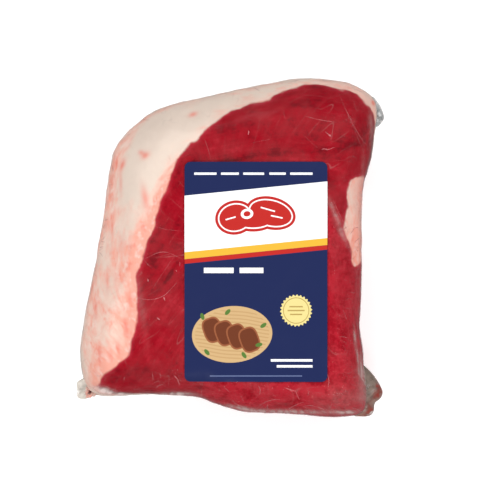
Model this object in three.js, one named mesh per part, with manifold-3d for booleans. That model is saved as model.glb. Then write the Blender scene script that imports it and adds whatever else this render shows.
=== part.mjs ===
// A piece of beef topside sealed in a clear vacuum bag, lying on its back with its label up.
// Millimetres, +Z up. The origin is on the surface that the pack lies on, under the middle of
// its bounding box. +X is the label's right and +Y the label's top.
//
// The bag clings to the meat, so it has solids of its own only where it stands clear: its three
// loose corners. Everywhere else the outer form of the bag is the outer form of the meat. The
// lean, the fat cap and the strip of fat at the right side run through the whole thickness.

import * as THREE from 'three';
import Module from 'manifold-3d';

const wasm = await Module();
wasm.setup();

// Driving dimensions of the wrapped piece
const THICKNESS = 72; // from the table to the shoulder of the top face
const RIM_HEIGHT = 31; // where the piece is widest
const DOME = 2; // rise of the top face from its shoulder to its middle
const MIDDLE = [-5, 0]; // the point that every ring of the surface runs round
const FLANK = { right: 24, top: 30, left: 42, bottom: 26 }; // width of the rounding above the rim
const UNDERCUT = { right: 15, top: 18, left: 24, bottom: 15 }; // width of the rounding below it

// Driving dimensions of the label
const LABEL = {
  width: 96, height: 148, corner: 4, thickness: 0.5, lift: 0.6, middle: [17.5, -16.4],
};

// Clearances
const GAP = 0.3; // between pieces that touch

// How finely the surfaces are divided
const AROUND = 112; // directions
const TOP_RINGS = 9; // from the middle to the shoulder
const FLANK_RINGS = 7; // from the shoulder to the rim
const UNDER_RINGS = 4; // from the rim to the flat of the underside

// The widest outline, anticlockwise from the middle of the right side
const OUTLINE = [
  [90, 5], [90.4, 36], [94.4, 53.5], [97.8, 66], [99.2, 78], [100.4, 89.5], [98.6, 101.6],
  [88, 109.8], [72.8, 114.5], [48, 116], [25.9, 112.5], [1.7, 107.6], [-23, 102], [-48, 95.6],
  [-66.2, 83.8], [-78, 69.6], [-82.4, 55], [-87.6, 17], [-95, -22], [-101.2, -55], [-103.2, -72],
  [-101.1, -89], [-94.5, -99.5], [-81, -101.8], [-55.5, -100.8], [-24.5, -102.5], [-10.7, -107],
  [6.6, -112.1], [48, -114.5], [76, -116.3], [89.6, -113.6], [93.3, -104], [92.1, -84.5],
  [89, -53.5], [90, -22.4],
];

// The swells of the top face: middle, half sizes, turn in degrees and height. The last three are
// in the fat cap, and the others in the lean.
const SWELLS = [
  { name: 'upper muscle', at: [47, 84], half: [56, 25], turn: -4, height: 4 },
  { name: 'right muscle', at: [77, -58], half: [13, 46], turn: 0, height: 2.4 },
  { name: 'left muscle', at: [-47, -44], half: [12, 42], turn: 4, height: 1.6 },
  { name: 'lower muscle', at: [28, -99], half: [16, 9], turn: 0, height: 2.2 },
  { name: 'lower muscle end', at: [62, -101], half: [14, 9], turn: 10, height: 2.4 },
  { name: 'lower left muscle', at: [-8, -95], half: [13, 9], turn: -20, height: 2 },
  { name: 'under the label corner', at: [-31, -93], half: [15, 10], turn: 0, height: 6 },
  { name: 'fat corner', at: [-45, 74], half: [27, 15], turn: 38, height: 3 },
  { name: 'fat middle', at: [-71, 10], half: [11, 36], turn: 8, height: 2 },
  { name: 'fat end', at: [-84, -56], half: [12, 30], turn: 4, height: 2.5 },
];

// The valleys between muscles: two ends, how far the middle bows to the left, half width, depth
const SEAMS = [
  { name: 'across the upper muscle', from: [-22, 56], to: [90, 69], bow: 0, half: 4, depth: 1.4 },
  { name: 'under the upper muscle', from: [62, 47], to: [92, 41], bow: -3, half: 4, depth: 2.4 },
  { name: 'between lower muscles', from: [15, -92], to: [11, -113], bow: 0, half: 3.2, depth: 2.4 },
  { name: 'by the right muscle', from: [43, -92], to: [52, -114], bow: -2, half: 3, depth: 2.2 },
  { name: 'above the lower left', from: [-40, -88], to: [-18, -103], bow: 2, half: 3, depth: 1.6 },
  { name: 'across the left muscle', from: [-32, -2], to: [-52, -32], bow: 1, half: 2.4, depth: 1.2 },
  { name: 'edge of the fat cap', from: [-37, 54], to: [-66, -72], bow: -7, half: 3, depth: 1.2 },
];
const SEAM_FADE = 0.12; // share of its length over which a seam fades in or out at each end

// Where the fat cap meets the lean, from the upper right corner round the left to the lower
// left, on the face with the label and on the face that it lies on
const CAP_FRONT = [
  [112, 80], [99.4, 89], [94.6, 94.8], [86, 103], [76, 107.6], [60, 110.4], [46, 108.4],
  [38, 106], [30, 102.4], [22, 99.4], [11, 96.6], [1, 92.4], [-9, 85], [-25, 70.5], [-36, 55.5],
  [-43, 37], [-51, 17], [-58, -5], [-62.5, -24], [-63.6, -50], [-68, -71.5], [-75, -78.6],
  [-83.4, -85.6], [-89, -93.5], [-97, -110],
];
const CAP_BACK = [
  [112, 60], [102, 62.5], [95, 66], [86, 71], [76, 76], [62, 80], [50, 80.5],
  [40, 79], [32, 76], [24, 73.4], [12, 70.6], [2, 66.5], [-7, 61], [-18, 50], [-26, 36],
  [-32, 20], [-38, 2], [-42, -16], [-43, -34], [-42, -52], [-39, -68], [-36, -79],
  [-33, -89], [-29, -101], [-24, -122],
];
const CAP_TURNS = { from: 15, to: 58 }; // heights between which the one becomes the other
const CAP_OUTSIDE = [[-130, -125], [-130, 130], [125, 130]]; // closes the cutter round the cap

// The strip of fat at the right side, from its top down its left edge
const SIDE_FAT = [
  [108, 49], [86.5, 47.5], [80.5, 43], [79.5, 30], [79, 18], [77.5, 8], [82, -2], [86.5, -12],
  [108, -19],
];
const SIDE_FAT_BACK = { about: [98, 15], scale: 0.72 };

// The bag's loose corners: where each leaves the piece, its free edge, its thickness at both,
// and the pleats that gather it. Each free edge has the same sense as its root.
const CORNERS = [
  {
    name: 'bag_corner_lower_left',
    root: [[-98, -88], [-88, -98]],
    edge: [[-104.6, -91.8], [-106, -93.6], [-106, -99], [-105.2, -103.6], [-100.4, -104.6],
      [-96, -103], [-92, -101.4]],
    thick: [4, 1.2], pleats: 2, depth: 1.1, drop: 3,
  },
  {
    name: 'bag_corner_upper_right',
    root: [[95, 82], [93, 101]],
    edge: [[101.8, 83.4], [104.6, 86.6], [106, 90.2], [103.4, 97.6], [98.4, 104.2]],
    thick: [5, 1.2], pleats: 2.5, depth: 1, drop: 2,
  },
  {
    name: 'bag_corner_lower_right',
    root: [[80, -110], [88, -80]],
    edge: [
      [86, -116.4], [95, -116.4], [98.8, -113.4], [99.8, -107.6], [103.6, -104.2],
      [105.2, -100.4], [104, -96.4], [100.6, -90.6], [96.6, -85.6], [92.4, -81.4],
    ],
    thick: [9, 2], pleats: 2, depth: 1.2, drop: 6,
  },
];

// Curves through the points that a shape needs

function throughPoints(points, closed) {
  const spots = points.map(([x, y]) => new THREE.Vector3(x, y, 0));
  return new THREE.CatmullRomCurve3(spots, closed, 'catmullrom', 0.5);
}

// Distance from MIDDLE to the widest outline, for each of RADII_COUNT even directions from +X
const RADII_COUNT = 720;
const outlineRadii = radiiOfOutline();

function radiiOfOutline() {
  const samples = throughPoints(OUTLINE, true)
    .getPoints(RADII_COUNT * 2)
    .slice(0, -1)
    .map((p) => new THREE.Vector2(p.x - MIDDLE[0], p.y - MIDDLE[1]))
    .sort((a, b) => a.angle() - b.angle());
  const turn = 2 * Math.PI;
  const last = samples.at(-1);
  let before = { angle: last.angle() - turn, radius: last.length() };
  let k = 0;
  return Array.from({ length: RADII_COUNT }, (_, i) => {
    const angle = turn * i / RADII_COUNT;
    while (k < samples.length && samples[k].angle() <= angle) {
      before = { angle: samples[k].angle(), radius: samples[k].length() };
      k += 1;
    }
    const next = samples[k % samples.length];
    const nextAngle = next.angle() + (k === samples.length ? turn : 0);
    const part = (angle - before.angle) / (nextAngle - before.angle);
    return THREE.MathUtils.lerp(before.radius, next.length(), part);
  });
}

function outlineRadius(angle) {
  const place = THREE.MathUtils.euclideanModulo(angle / (2 * Math.PI), 1) * RADII_COUNT;
  const low = Math.floor(place) % RADII_COUNT;
  const high = (low + 1) % RADII_COUNT;
  return THREE.MathUtils.lerp(outlineRadii[low], outlineRadii[high], place - Math.floor(place));
}

// Directions whose points on the outline are evenly spaced
function evenDirections(count) {
  return throughPoints(OUTLINE, true)
    .getSpacedPoints(count)
    .slice(0, -1)
    .map((p) => Math.atan2(p.y - MIDDLE[1], p.x - MIDDLE[0]));
}

// A width that changes smoothly between the four sides
function sideValue(sides, angle) {
  const c = Math.cos(angle);
  const s = Math.sin(angle);
  const across = c > 0 ? sides.right : sides.left;
  const along = s > 0 ? sides.top : sides.bottom;
  return across * c * c + along * s * s;
}

// The relief of the top face

function swellHeight(x, y) {
  let total = 0;
  for (const { at, half, turn, height } of SWELLS) {
    const a = THREE.MathUtils.degToRad(turn);
    const dx = x - at[0];
    const dy = y - at[1];
    const u = (dx * Math.cos(a) + dy * Math.sin(a)) / half[0];
    const v = (dy * Math.cos(a) - dx * Math.sin(a)) / half[1];
    total += height * Math.exp(-(u * u + v * v));
  }
  return total;
}

function seamDepth(x, y) {
  let total = 0;
  for (const { from, to, bow, half, depth } of SEAMS) {
    const length = Math.hypot(to[0] - from[0], to[1] - from[1]);
    const ux = (to[0] - from[0]) / length;
    const uy = (to[1] - from[1]) / length;
    const along = ((x - from[0]) * ux + (y - from[1]) * uy) / length;
    const off = (y - from[1]) * ux - (x - from[0]) * uy;
    const bowed = bow * (1 - (2 * along - 1) ** 2);
    const ends = THREE.MathUtils.smoothstep(along, -SEAM_FADE, SEAM_FADE)
      * (1 - THREE.MathUtils.smoothstep(along, 1 - SEAM_FADE, 1 + SEAM_FADE));
    total += depth * ends * Math.exp(-(((off - bowed) / half) ** 2));
  }
  return total;
}

// The wrapped piece. A ring is at the share `reach` of the way from MIDDLE to the outline.

// How far the rounding has risen, from 0 at the rim to 1 at the shoulder
function roundingAt(angle, reach, sides) {
  const inset = (1 - reach) * outlineRadius(angle);
  const t = Math.min(inset / sideValue(sides, angle), 1);
  return Math.sqrt(1 - (1 - t) ** 2);
}

function ringPoint(angle, reach) {
  const r = reach * outlineRadius(angle);
  return [MIDDLE[0] + r * Math.cos(angle), MIDDLE[1] + r * Math.sin(angle)];
}

function topHeight(angle, reach, seams) {
  const [x, y] = ringPoint(angle, reach);
  const rise = roundingAt(angle, reach, FLANK);
  const face = THICKNESS - RIM_HEIGHT + DOME * (1 - reach * reach) + swellHeight(x, y);
  const sunk = seams ? seamDepth(x, y) * rise * rise : 0;
  return RIM_HEIGHT + face * rise - sunk;
}

function underHeight(angle, reach) {
  return RIM_HEIGHT * (1 - roundingAt(angle, reach, UNDERCUT));
}

// Height of the top face over a point of the table, with its seams bridged
function bridgedHeightAt(x, y) {
  const angle = Math.atan2(y - MIDDLE[1], x - MIDDLE[0]);
  const reach = Math.hypot(x - MIDDLE[0], y - MIDDLE[1]) / outlineRadius(angle);
  return topHeight(angle, Math.min(reach, 1), false);
}

// Solids

function solid(vertices, triangles) {
  return new wasm.Manifold(new wasm.Mesh({
    numProp: 3,
    vertProperties: Float32Array.from(vertices.flat()),
    triVerts: Uint32Array.from(triangles.flat()),
  }));
}

// A closed solid of rings of points, from a point on top to a point below, each ring anticlockwise
function solidOfRings(topPoint, rings, lowPoint) {
  const count = rings[0].length;
  const vertices = [topPoint, ...rings.flat(), lowPoint];
  const low = vertices.length - 1;
  const triangles = [];
  for (let i = 0; i < count; i += 1) {
    const next = (i + 1) % count;
    triangles.push([0, 1 + i, 1 + next]);
    for (let j = 0; j + 1 < rings.length; j += 1) {
      const a = 1 + j * count;
      const b = a + count;
      triangles.push([a + i, b + i, b + next], [a + i, b + next, a + next]);
    }
    const last = 1 + (rings.length - 1) * count;
    triangles.push([low, last + next, last + i]);
  }
  return solid(vertices, triangles);
}

// The whole wrapped piece, grown on every side by `grow`
function wrappedPiece(grow) {
  const angles = evenDirections(AROUND);
  const ring = (reachAt, heightAt) => angles.map((angle) => {
    const reach = reachAt(angle);
    const r = reach * (outlineRadius(angle) + grow);
    return [
      MIDDLE[0] + r * Math.cos(angle),
      MIDDLE[1] + r * Math.sin(angle),
      heightAt(angle, reach),
    ];
  });
  const shoulder = (angle, sides) => 1 - sideValue(sides, angle) / outlineRadius(angle);
  const rounding = (sides, part) => (angle) => {
    const turned = 1 - Math.cos(part * Math.PI / 2);
    return 1 - (1 - shoulder(angle, sides)) * turned;
  };
  const over = (angle, reach) => topHeight(angle, reach, true) + grow;
  const under = (angle, reach) => underHeight(angle, reach) - grow;

  const rings = [];
  for (let k = 1; k < TOP_RINGS; k += 1) {
    rings.push(ring((angle) => shoulder(angle, FLANK) * k / TOP_RINGS, over));
  }
  for (let k = FLANK_RINGS; k > 0; k -= 1) rings.push(ring(rounding(FLANK, k / FLANK_RINGS), over));
  rings.push(ring(() => 1, () => RIM_HEIGHT));
  for (let k = 1; k <= UNDER_RINGS; k += 1) {
    rings.push(ring(rounding(UNDERCUT, k / UNDER_RINGS), under));
  }
  return solidOfRings([...MIDDLE, over(0, 0)], rings, [...MIDDLE, -grow]);
}

// A closed solid between outlines of as many points, one for each height, lowest first
function solidOfOutlines(outlines, heights) {
  const count = outlines[0].length;
  const vertices = outlines.flatMap((points, k) => points.map((p) => [p.x, p.y, heights[k]]));
  const floor = THREE.ShapeUtils.triangulateShape(outlines[0], []);
  const roof = THREE.ShapeUtils.triangulateShape(outlines.at(-1), []);
  const top = (outlines.length - 1) * count;
  const triangles = [
    ...floor.map(([a, b, c]) => [a, c, b]),
    ...roof.map(([a, b, c]) => [top + a, top + b, top + c]),
  ];
  for (let k = 0; k + 1 < outlines.length; k += 1) {
    for (let i = 0; i < count; i += 1) {
      const a = k * count + i;
      const b = k * count + (i + 1) % count;
      triangles.push([a, b, b + count], [a, b + count, a + count]);
    }
  }
  return solid(vertices, triangles);
}

// The points of an open curve, moved sideways to its left by `offset`
function curvePoints(points, count, offset) {
  const curve = throughPoints(points, false);
  return Array.from({ length: count + 1 }, (_, i) => {
    const p = curve.getPoint(i / count);
    const t = curve.getTangent(i / count);
    return new THREE.Vector2(p.x - t.y * offset, p.y + t.x * offset);
  });
}

// Heights at which the cutters have an outline, past the piece's lowest and highest points
const CUT_HEIGHTS = [-6, 8, 16, 24, 32, 40, 48, 56, 64, 92];
const CAP_STEPS = 72;
const SIDE_FAT_STEPS = 32;

// Everything on the fat cap's side of its boundary, which is moved into the lean by `offset`
function capCutter(offset) {
  const front = curvePoints(CAP_FRONT, CAP_STEPS, offset);
  const back = curvePoints(CAP_BACK, CAP_STEPS, offset);
  const outside = CAP_OUTSIDE.map(([x, y]) => new THREE.Vector2(x, y));
  const outlines = CUT_HEIGHTS.map((z) => {
    const turned = THREE.MathUtils.smoothstep(z, CAP_TURNS.from, CAP_TURNS.to);
    const edge = back.map((p, i) => p.clone().lerp(front[i], turned));
    return [...edge, ...outside].reverse();
  });
  return solidOfOutlines(outlines, CUT_HEIGHTS);
}

// Everything on the side fat's side of its boundary, which is moved into the lean by `offset`
function sideFatCutter(offset) {
  const front = curvePoints(SIDE_FAT, SIDE_FAT_STEPS, -offset);
  const about = new THREE.Vector2(...SIDE_FAT_BACK.about);
  const outlines = CUT_HEIGHTS.map((z) => {
    const turned = THREE.MathUtils.smoothstep(z, CAP_TURNS.from, CAP_TURNS.to);
    const scale = THREE.MathUtils.lerp(SIDE_FAT_BACK.scale, 1, turned);
    return front.map((p) => p.clone().sub(about).multiplyScalar(scale).add(about));
  });
  return solidOfOutlines(outlines, CUT_HEIGHTS);
}

// A thin wavy solid. pointAt gives the middle of the sheet and its half thickness at shares of
// its two directions. Both faces are split into triangles alike.
function wavySheet(pointAt, columns, rows) {
  const perFace = (columns + 1) * (rows + 1);
  const upper = [];
  const lower = [];
  for (let j = 0; j <= rows; j += 1) {
    for (let i = 0; i <= columns; i += 1) {
      const { x, y, z, half } = pointAt(i / columns, j / rows);
      upper.push([x, y, z + half]);
      lower.push([x, y, z - half]);
    }
  }
  const at = (i, j) => j * (columns + 1) + i;
  const triangles = [];
  for (let j = 0; j < rows; j += 1) {
    for (let i = 0; i < columns; i += 1) {
      const [a, b, c, d] = [at(i, j), at(i + 1, j), at(i + 1, j + 1), at(i, j + 1)];
      for (const [p, q, r] of [[a, b, c], [a, c, d]]) {
        triangles.push([p, q, r], [perFace + p, perFace + r, perFace + q]);
      }
    }
  }
  const rim = [];
  for (let i = 0; i < columns; i += 1) rim.push(at(i, 0));
  for (let j = 0; j < rows; j += 1) rim.push(at(columns, j));
  for (let i = columns; i > 0; i -= 1) rim.push(at(i, rows));
  for (let j = rows; j > 0; j -= 1) rim.push(at(0, j));
  rim.forEach((p, k) => {
    const q = rim[(k + 1) % rim.length];
    triangles.push([p, perFace + p, perFace + q], [p, perFace + q, q]);
  });
  return solid([...upper, ...lower], triangles);
}

const CORNER_COLUMNS = 7; // from the piece to the free edge
const CORNER_ROWS = 16; // along the free edge

// One loose corner of the bag: flat film gathered in pleats, thicker where it leaves the piece
function bagCorner({ root, edge, thick, pleats, depth, drop }) {
  const free = throughPoints(edge, false);
  const [start, end] = root;
  return wavySheet((out, along) => {
    const tip = free.getPoint(along);
    const x = THREE.MathUtils.lerp(THREE.MathUtils.lerp(start[0], end[0], along), tip.x, out);
    const y = THREE.MathUtils.lerp(THREE.MathUtils.lerp(start[1], end[1], along), tip.y, out);
    const pleat = depth * Math.sin(2 * Math.PI * pleats * along) * Math.sin(Math.PI * along);
    const half = THREE.MathUtils.lerp(thick[0], thick[1], out) / 2;
    return { x, y, z: RIM_HEIGHT + pleat * out - drop * out * out, half };
  }, CORNER_COLUMNS, CORNER_ROWS);
}

// The label is a sheet over the top face that bridges the seams. Its first and last rows step
// round the corners.
const LABEL_COLUMNS = 16;
const LABEL_ROWS = 30;
const LABEL_CORNER_ROWS = 3;

function labelRow(row) {
  const fromEnd = Math.min(row, LABEL_ROWS - row);
  const side = row < LABEL_ROWS / 2 ? -1 : 1;
  const across = LABEL.width / 2 - LABEL.corner;
  const along = LABEL.height / 2 - LABEL.corner;
  if (fromEnd <= LABEL_CORNER_ROWS) {
    const turned = (fromEnd / LABEL_CORNER_ROWS) * Math.PI / 2;
    return {
      y: side * (along + LABEL.corner * Math.cos(turned)),
      halfWidth: across + LABEL.corner * Math.sin(turned),
    };
  }
  const part = (fromEnd - LABEL_CORNER_ROWS) / (LABEL_ROWS / 2 - LABEL_CORNER_ROWS);
  return { y: side * along * (1 - part), halfWidth: across + LABEL.corner };
}

function labelSolid() {
  const { thickness, middle } = LABEL;
  const half = thickness / 2;
  return wavySheet((across, up) => {
    const row = labelRow(Math.round(up * LABEL_ROWS));
    const x = middle[0] + (2 * across - 1) * row.halfWidth;
    const y = middle[1] + row.y;
    return { x, y, z: bridgedHeightAt(x, y) + LABEL.lift + half, half };
  }, LABEL_COLUMNS, LABEL_ROWS);
}

// Meshes

const FINISH = {
  lean: { color: 0x9f2430, roughness: 0.35, metalness: 0 },
  fat: { color: 0xeccbb8, roughness: 0.4, metalness: 0 },
  film: { color: 0xcfc6c0, roughness: 0.15, metalness: 0 },
  print: { color: 0x26305a, roughness: 0.45, metalness: 0 },
};

function meshOf(name, piece, finish) {
  const { vertProperties, triVerts } = piece.getMesh();
  const geometry = new THREE.BufferGeometry()
    .setAttribute('position', new THREE.BufferAttribute(vertProperties, 3))
    .setIndex(new THREE.BufferAttribute(triVerts, 1));
  geometry.computeVertexNormals();
  const mesh = new THREE.Mesh(geometry, new THREE.MeshStandardMaterial(FINISH[finish]));
  mesh.name = name;
  return mesh;
}

const piece = wrappedPiece(0);
const lean = piece.subtract(capCutter(GAP / 2)).subtract(sideFatCutter(GAP / 2));
const fatCap = piece.intersect(capCutter(-GAP / 2));
const sideFat = piece.intersect(sideFatCutter(-GAP / 2));
const clearOfPiece = wrappedPiece(GAP);

const pack = new THREE.Group();
pack.name = 'vacuum_packed_beef_topside';
pack.add(
  meshOf('lean_meat', lean, 'lean'),
  meshOf('fat_cap', fatCap, 'fat'),
  meshOf('side_fat', sideFat, 'fat'),
  meshOf('label', labelSolid(), 'print'),
  ...CORNERS.map((c) => meshOf(c.name, bagCorner(c).subtract(clearOfPiece), 'film')),
);

export default pack;
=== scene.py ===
"""Dresses a vacuum-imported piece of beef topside: lean, fat, clear film and a printed label.

Lengths are in millimetres in every class here, and become metres where a mesh is made.
"""

import logging
import math
import random
from dataclasses import dataclass
from enum import Enum
from typing import Any, Sequence

import bpy
import numpy as np
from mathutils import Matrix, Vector, noise

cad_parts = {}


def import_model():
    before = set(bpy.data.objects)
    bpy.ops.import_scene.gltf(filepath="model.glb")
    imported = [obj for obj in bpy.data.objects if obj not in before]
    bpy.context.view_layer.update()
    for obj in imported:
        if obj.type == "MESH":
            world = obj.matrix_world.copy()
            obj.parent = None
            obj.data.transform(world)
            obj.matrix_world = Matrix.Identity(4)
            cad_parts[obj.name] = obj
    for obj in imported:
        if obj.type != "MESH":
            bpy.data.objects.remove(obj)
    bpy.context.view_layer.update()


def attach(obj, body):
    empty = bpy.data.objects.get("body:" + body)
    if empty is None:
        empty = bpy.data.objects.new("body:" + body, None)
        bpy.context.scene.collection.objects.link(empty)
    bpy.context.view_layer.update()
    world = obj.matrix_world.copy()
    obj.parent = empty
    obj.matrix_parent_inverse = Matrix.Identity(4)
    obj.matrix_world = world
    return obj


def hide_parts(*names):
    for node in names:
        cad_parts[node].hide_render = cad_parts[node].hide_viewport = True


MM = 0.001
BODY = "root"
WHITE = (1.0, 1.0, 1.0)

Array = np.ndarray
Point = tuple[float, float]
Colour = tuple[float, float, float]

log = logging.getLogger("topside")


def linear(red: float, green: float, blue: float) -> Colour:
    """Turns a colour of 0 to 255 a channel, as a screen shows it, into linear light.

    Args:
        red: Red, 0 to 255.
        green: Green, 0 to 255.
        blue: Blue, 0 to 255.

    Returns:
        The same colour in linear light, 0 to 1 a channel.
    """
    shares = (channel / 255 for channel in (red, green, blue))
    return tuple(
        share / 12.92 if share <= 0.04045 else ((share + 0.055) / 1.055) ** 2.4
        for share in shares
    )


def smoothstep(value: Array, low: float, high: float) -> Array:
    """Rises smoothly from 0 at low to 1 at high."""
    share = np.clip((value - low) / (high - low), 0, 1)
    return share * share * (3 - 2 * share)


def noise_at(points: Array, size: float, seed: float = 0.0) -> Array:
    """Smooth noise at each point.

    Args:
        points: One row of x, y and z for each point.
        size: The width of a lump of the noise.
        seed: Moves the noise, so that two fields differ.

    Returns:
        A number from about -1 to 1 for each point.
    """
    places = points / size + seed
    return np.array([noise.noise(Vector(place)) for place in places])


def curve_through(points: Sequence[Point], steps: int, closed: bool) -> Array:
    """Samples a uniform Catmull-Rom curve.

    Args:
        points: The points that the curve passes through.
        steps: How many equal steps of its parameter to take.
        closed: Whether the last point leads back to the first.

    Returns:
        The sampled points, with both ends where the curve is open.
    """
    nodes = np.array(points, float)
    if closed:
        padded = np.vstack([nodes[-1:], nodes, nodes[:2]])
        spans = len(nodes)
        shares = np.arange(steps) / steps
    else:
        before = 2 * nodes[:1] - nodes[1:2]
        after = 2 * nodes[-1:] - nodes[-2:-1]
        padded = np.vstack([before, nodes, after])
        spans = len(nodes) - 1
        shares = np.arange(steps + 1) / steps
    places = np.clip(shares * spans, 0, spans - 1e-9)
    first = places.astype(int)
    t = (places - first)[:, None]
    p0, p1, p2, p3 = (padded[first + k] for k in range(4))
    slope_in = (p2 - p0) / 2
    slope_out = (p3 - p1) / 2
    cubic = 2 * p1 - 2 * p2 + slope_in + slope_out
    square = -3 * p1 + 3 * p2 - 2 * slope_in - slope_out
    return ((cubic * t + square) * t + slope_in) * t + p1


class Slot(Enum):
    """The record's material slots."""

    LEAN = "lean"
    FAT = "fat"
    PRINT = "label_print"
    FILM = "bag_film"


@dataclass
class Surface:
    """A mesh as plain arrays, in millimetres."""

    points: Array
    faces: list[tuple[int, ...]]

    def normals(self) -> Array:
        """The unit normal at each point, as a mean over its faces.

        Returns:
            One row of x, y and z for each point.
        """
        total = np.zeros_like(self.points)
        for size in {len(face) for face in self.faces}:
            corners = np.array([face for face in self.faces if len(face) == size])
            first = self.points[corners[:, 1]] - self.points[corners[:, 0]]
            last = self.points[corners[:, -1]] - self.points[corners[:, 0]]
            normal = np.cross(first, last)
            for column in range(size):
                np.add.at(total, corners[:, column], normal)
        length = np.linalg.norm(total, axis=1, keepdims=True)
        return total / np.maximum(length, 1e-12)

    def to_object(self, name: str, smooth: bool = True) -> bpy.types.Object:
        """Makes a Blender object of the mesh, in metres.

        Args:
            name: The name of the object and its mesh.
            smooth: Whether its faces are shaded smooth.

        Returns:
            The object, linked to the scene.
        """
        mesh = bpy.data.meshes.new(name)
        mesh.from_pydata((self.points * MM).tolist(), [], self.faces)
        mesh.update()
        if smooth:
            mesh.shade_smooth()
        thing = bpy.data.objects.new(name, mesh)
        bpy.context.collection.objects.link(thing)
        return thing


def joined(parts: Sequence[Surface]) -> Surface:
    """Puts several meshes into one.

    Args:
        parts: The meshes to join.

    Returns:
        One mesh that holds them all.
    """
    faces: list[tuple[int, ...]] = []
    start = 0
    for part in parts:
        faces += [tuple(corner + start for corner in face) for face in part.faces]
        start += len(part.points)
    return Surface(np.vstack([part.points for part in parts]), faces)


def points_of(thing: bpy.types.Object) -> Array:
    """The places of an object's vertices, in millimetres.

    Args:
        thing: The object.

    Returns:
        One row of x, y and z for each vertex.
    """
    flat = np.empty(len(thing.data.vertices) * 3)
    thing.data.vertices.foreach_get("co", flat)
    return flat.reshape(-1, 3) / MM


def store(thing: bpy.types.Object, name: str, values: Array) -> None:
    """Keeps one number or one vector for each vertex, for a material to read.

    Args:
        thing: The object whose mesh keeps them.
        name: The attribute's name.
        values: One number or one row of three for each vertex.
    """
    kind, key = ("FLOAT", "value") if values.ndim == 1 else ("FLOAT_VECTOR", "vector")
    attribute = thing.data.attributes.new(name, kind, "POINT")
    attribute.data.foreach_set(key, values.astype(np.float32).ravel())


@dataclass(frozen=True)
class Sides:
    """A width that differs between the four sides."""

    right: float
    top: float
    left: float
    bottom: float

    def at(self, angle: Array) -> Array:
        """The width in each direction, changing smoothly between the sides.

        Args:
            angle: The direction from the middle, in radians.

        Returns:
            A width for each direction.
        """
        across = np.where(np.cos(angle) > 0, self.right, self.left)
        along = np.where(np.sin(angle) > 0, self.top, self.bottom)
        return across * np.cos(angle) ** 2 + along * np.sin(angle) ** 2


@dataclass(frozen=True)
class Oval:
    """A soft-edged oval: a bulge of the top face, or a mark on it."""

    middle: Point
    half: Point
    turn: float = 0.0
    height: float = 1.0

    def at(self, x: Array, y: Array) -> Array:
        """The oval's share at each point, from 0 to 1.

        Args:
            x: Places across.
            y: Places up the label.

        Returns:
            A share for each place.
        """
        angle = math.radians(self.turn)
        dx = x - self.middle[0]
        dy = y - self.middle[1]
        u = (dx * math.cos(angle) + dy * math.sin(angle)) / self.half[0]
        v = (dy * math.cos(angle) - dx * math.sin(angle)) / self.half[1]
        return np.exp(-(u * u + v * v))


def marked(points: Array, marks: Sequence[Oval]) -> Array:
    """The sum of soft marks at each point, by their heights.

    Args:
        points: One row of x, y and z for each point.
        marks: The marks.

    Returns:
        A number for each point.
    """
    x, y = points[:, 0], points[:, 1]
    total = np.zeros(len(points))
    for mark in marks:
        total += mark.height * mark.at(x, y)
    return total


@dataclass(frozen=True)
class Seam:
    """A valley in the top face, between two muscles or along the fat."""

    start: Point
    end: Point
    bow: float
    half: float
    depth: float
    fade: float = 0.12

    def at(self, x: Array, y: Array) -> Array:
        """The share of the valley's depth at each point, from 0 to 1.

        Args:
            x: Places across.
            y: Places up the label.

        Returns:
            A share for each place.
        """
        length = math.dist(self.start, self.end)
        ux = (self.end[0] - self.start[0]) / length
        uy = (self.end[1] - self.start[1]) / length
        along = ((x - self.start[0]) * ux + (y - self.start[1]) * uy) / length
        off = (y - self.start[1]) * ux - (x - self.start[0]) * uy
        bowed = self.bow * (1 - (2 * along - 1) ** 2)
        ends = smoothstep(along, -self.fade, self.fade)
        ends = ends * (1 - smoothstep(along, 1 - self.fade, 1 + self.fade))
        return ends * np.exp(-(((off - bowed) / self.half) ** 2))


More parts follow.
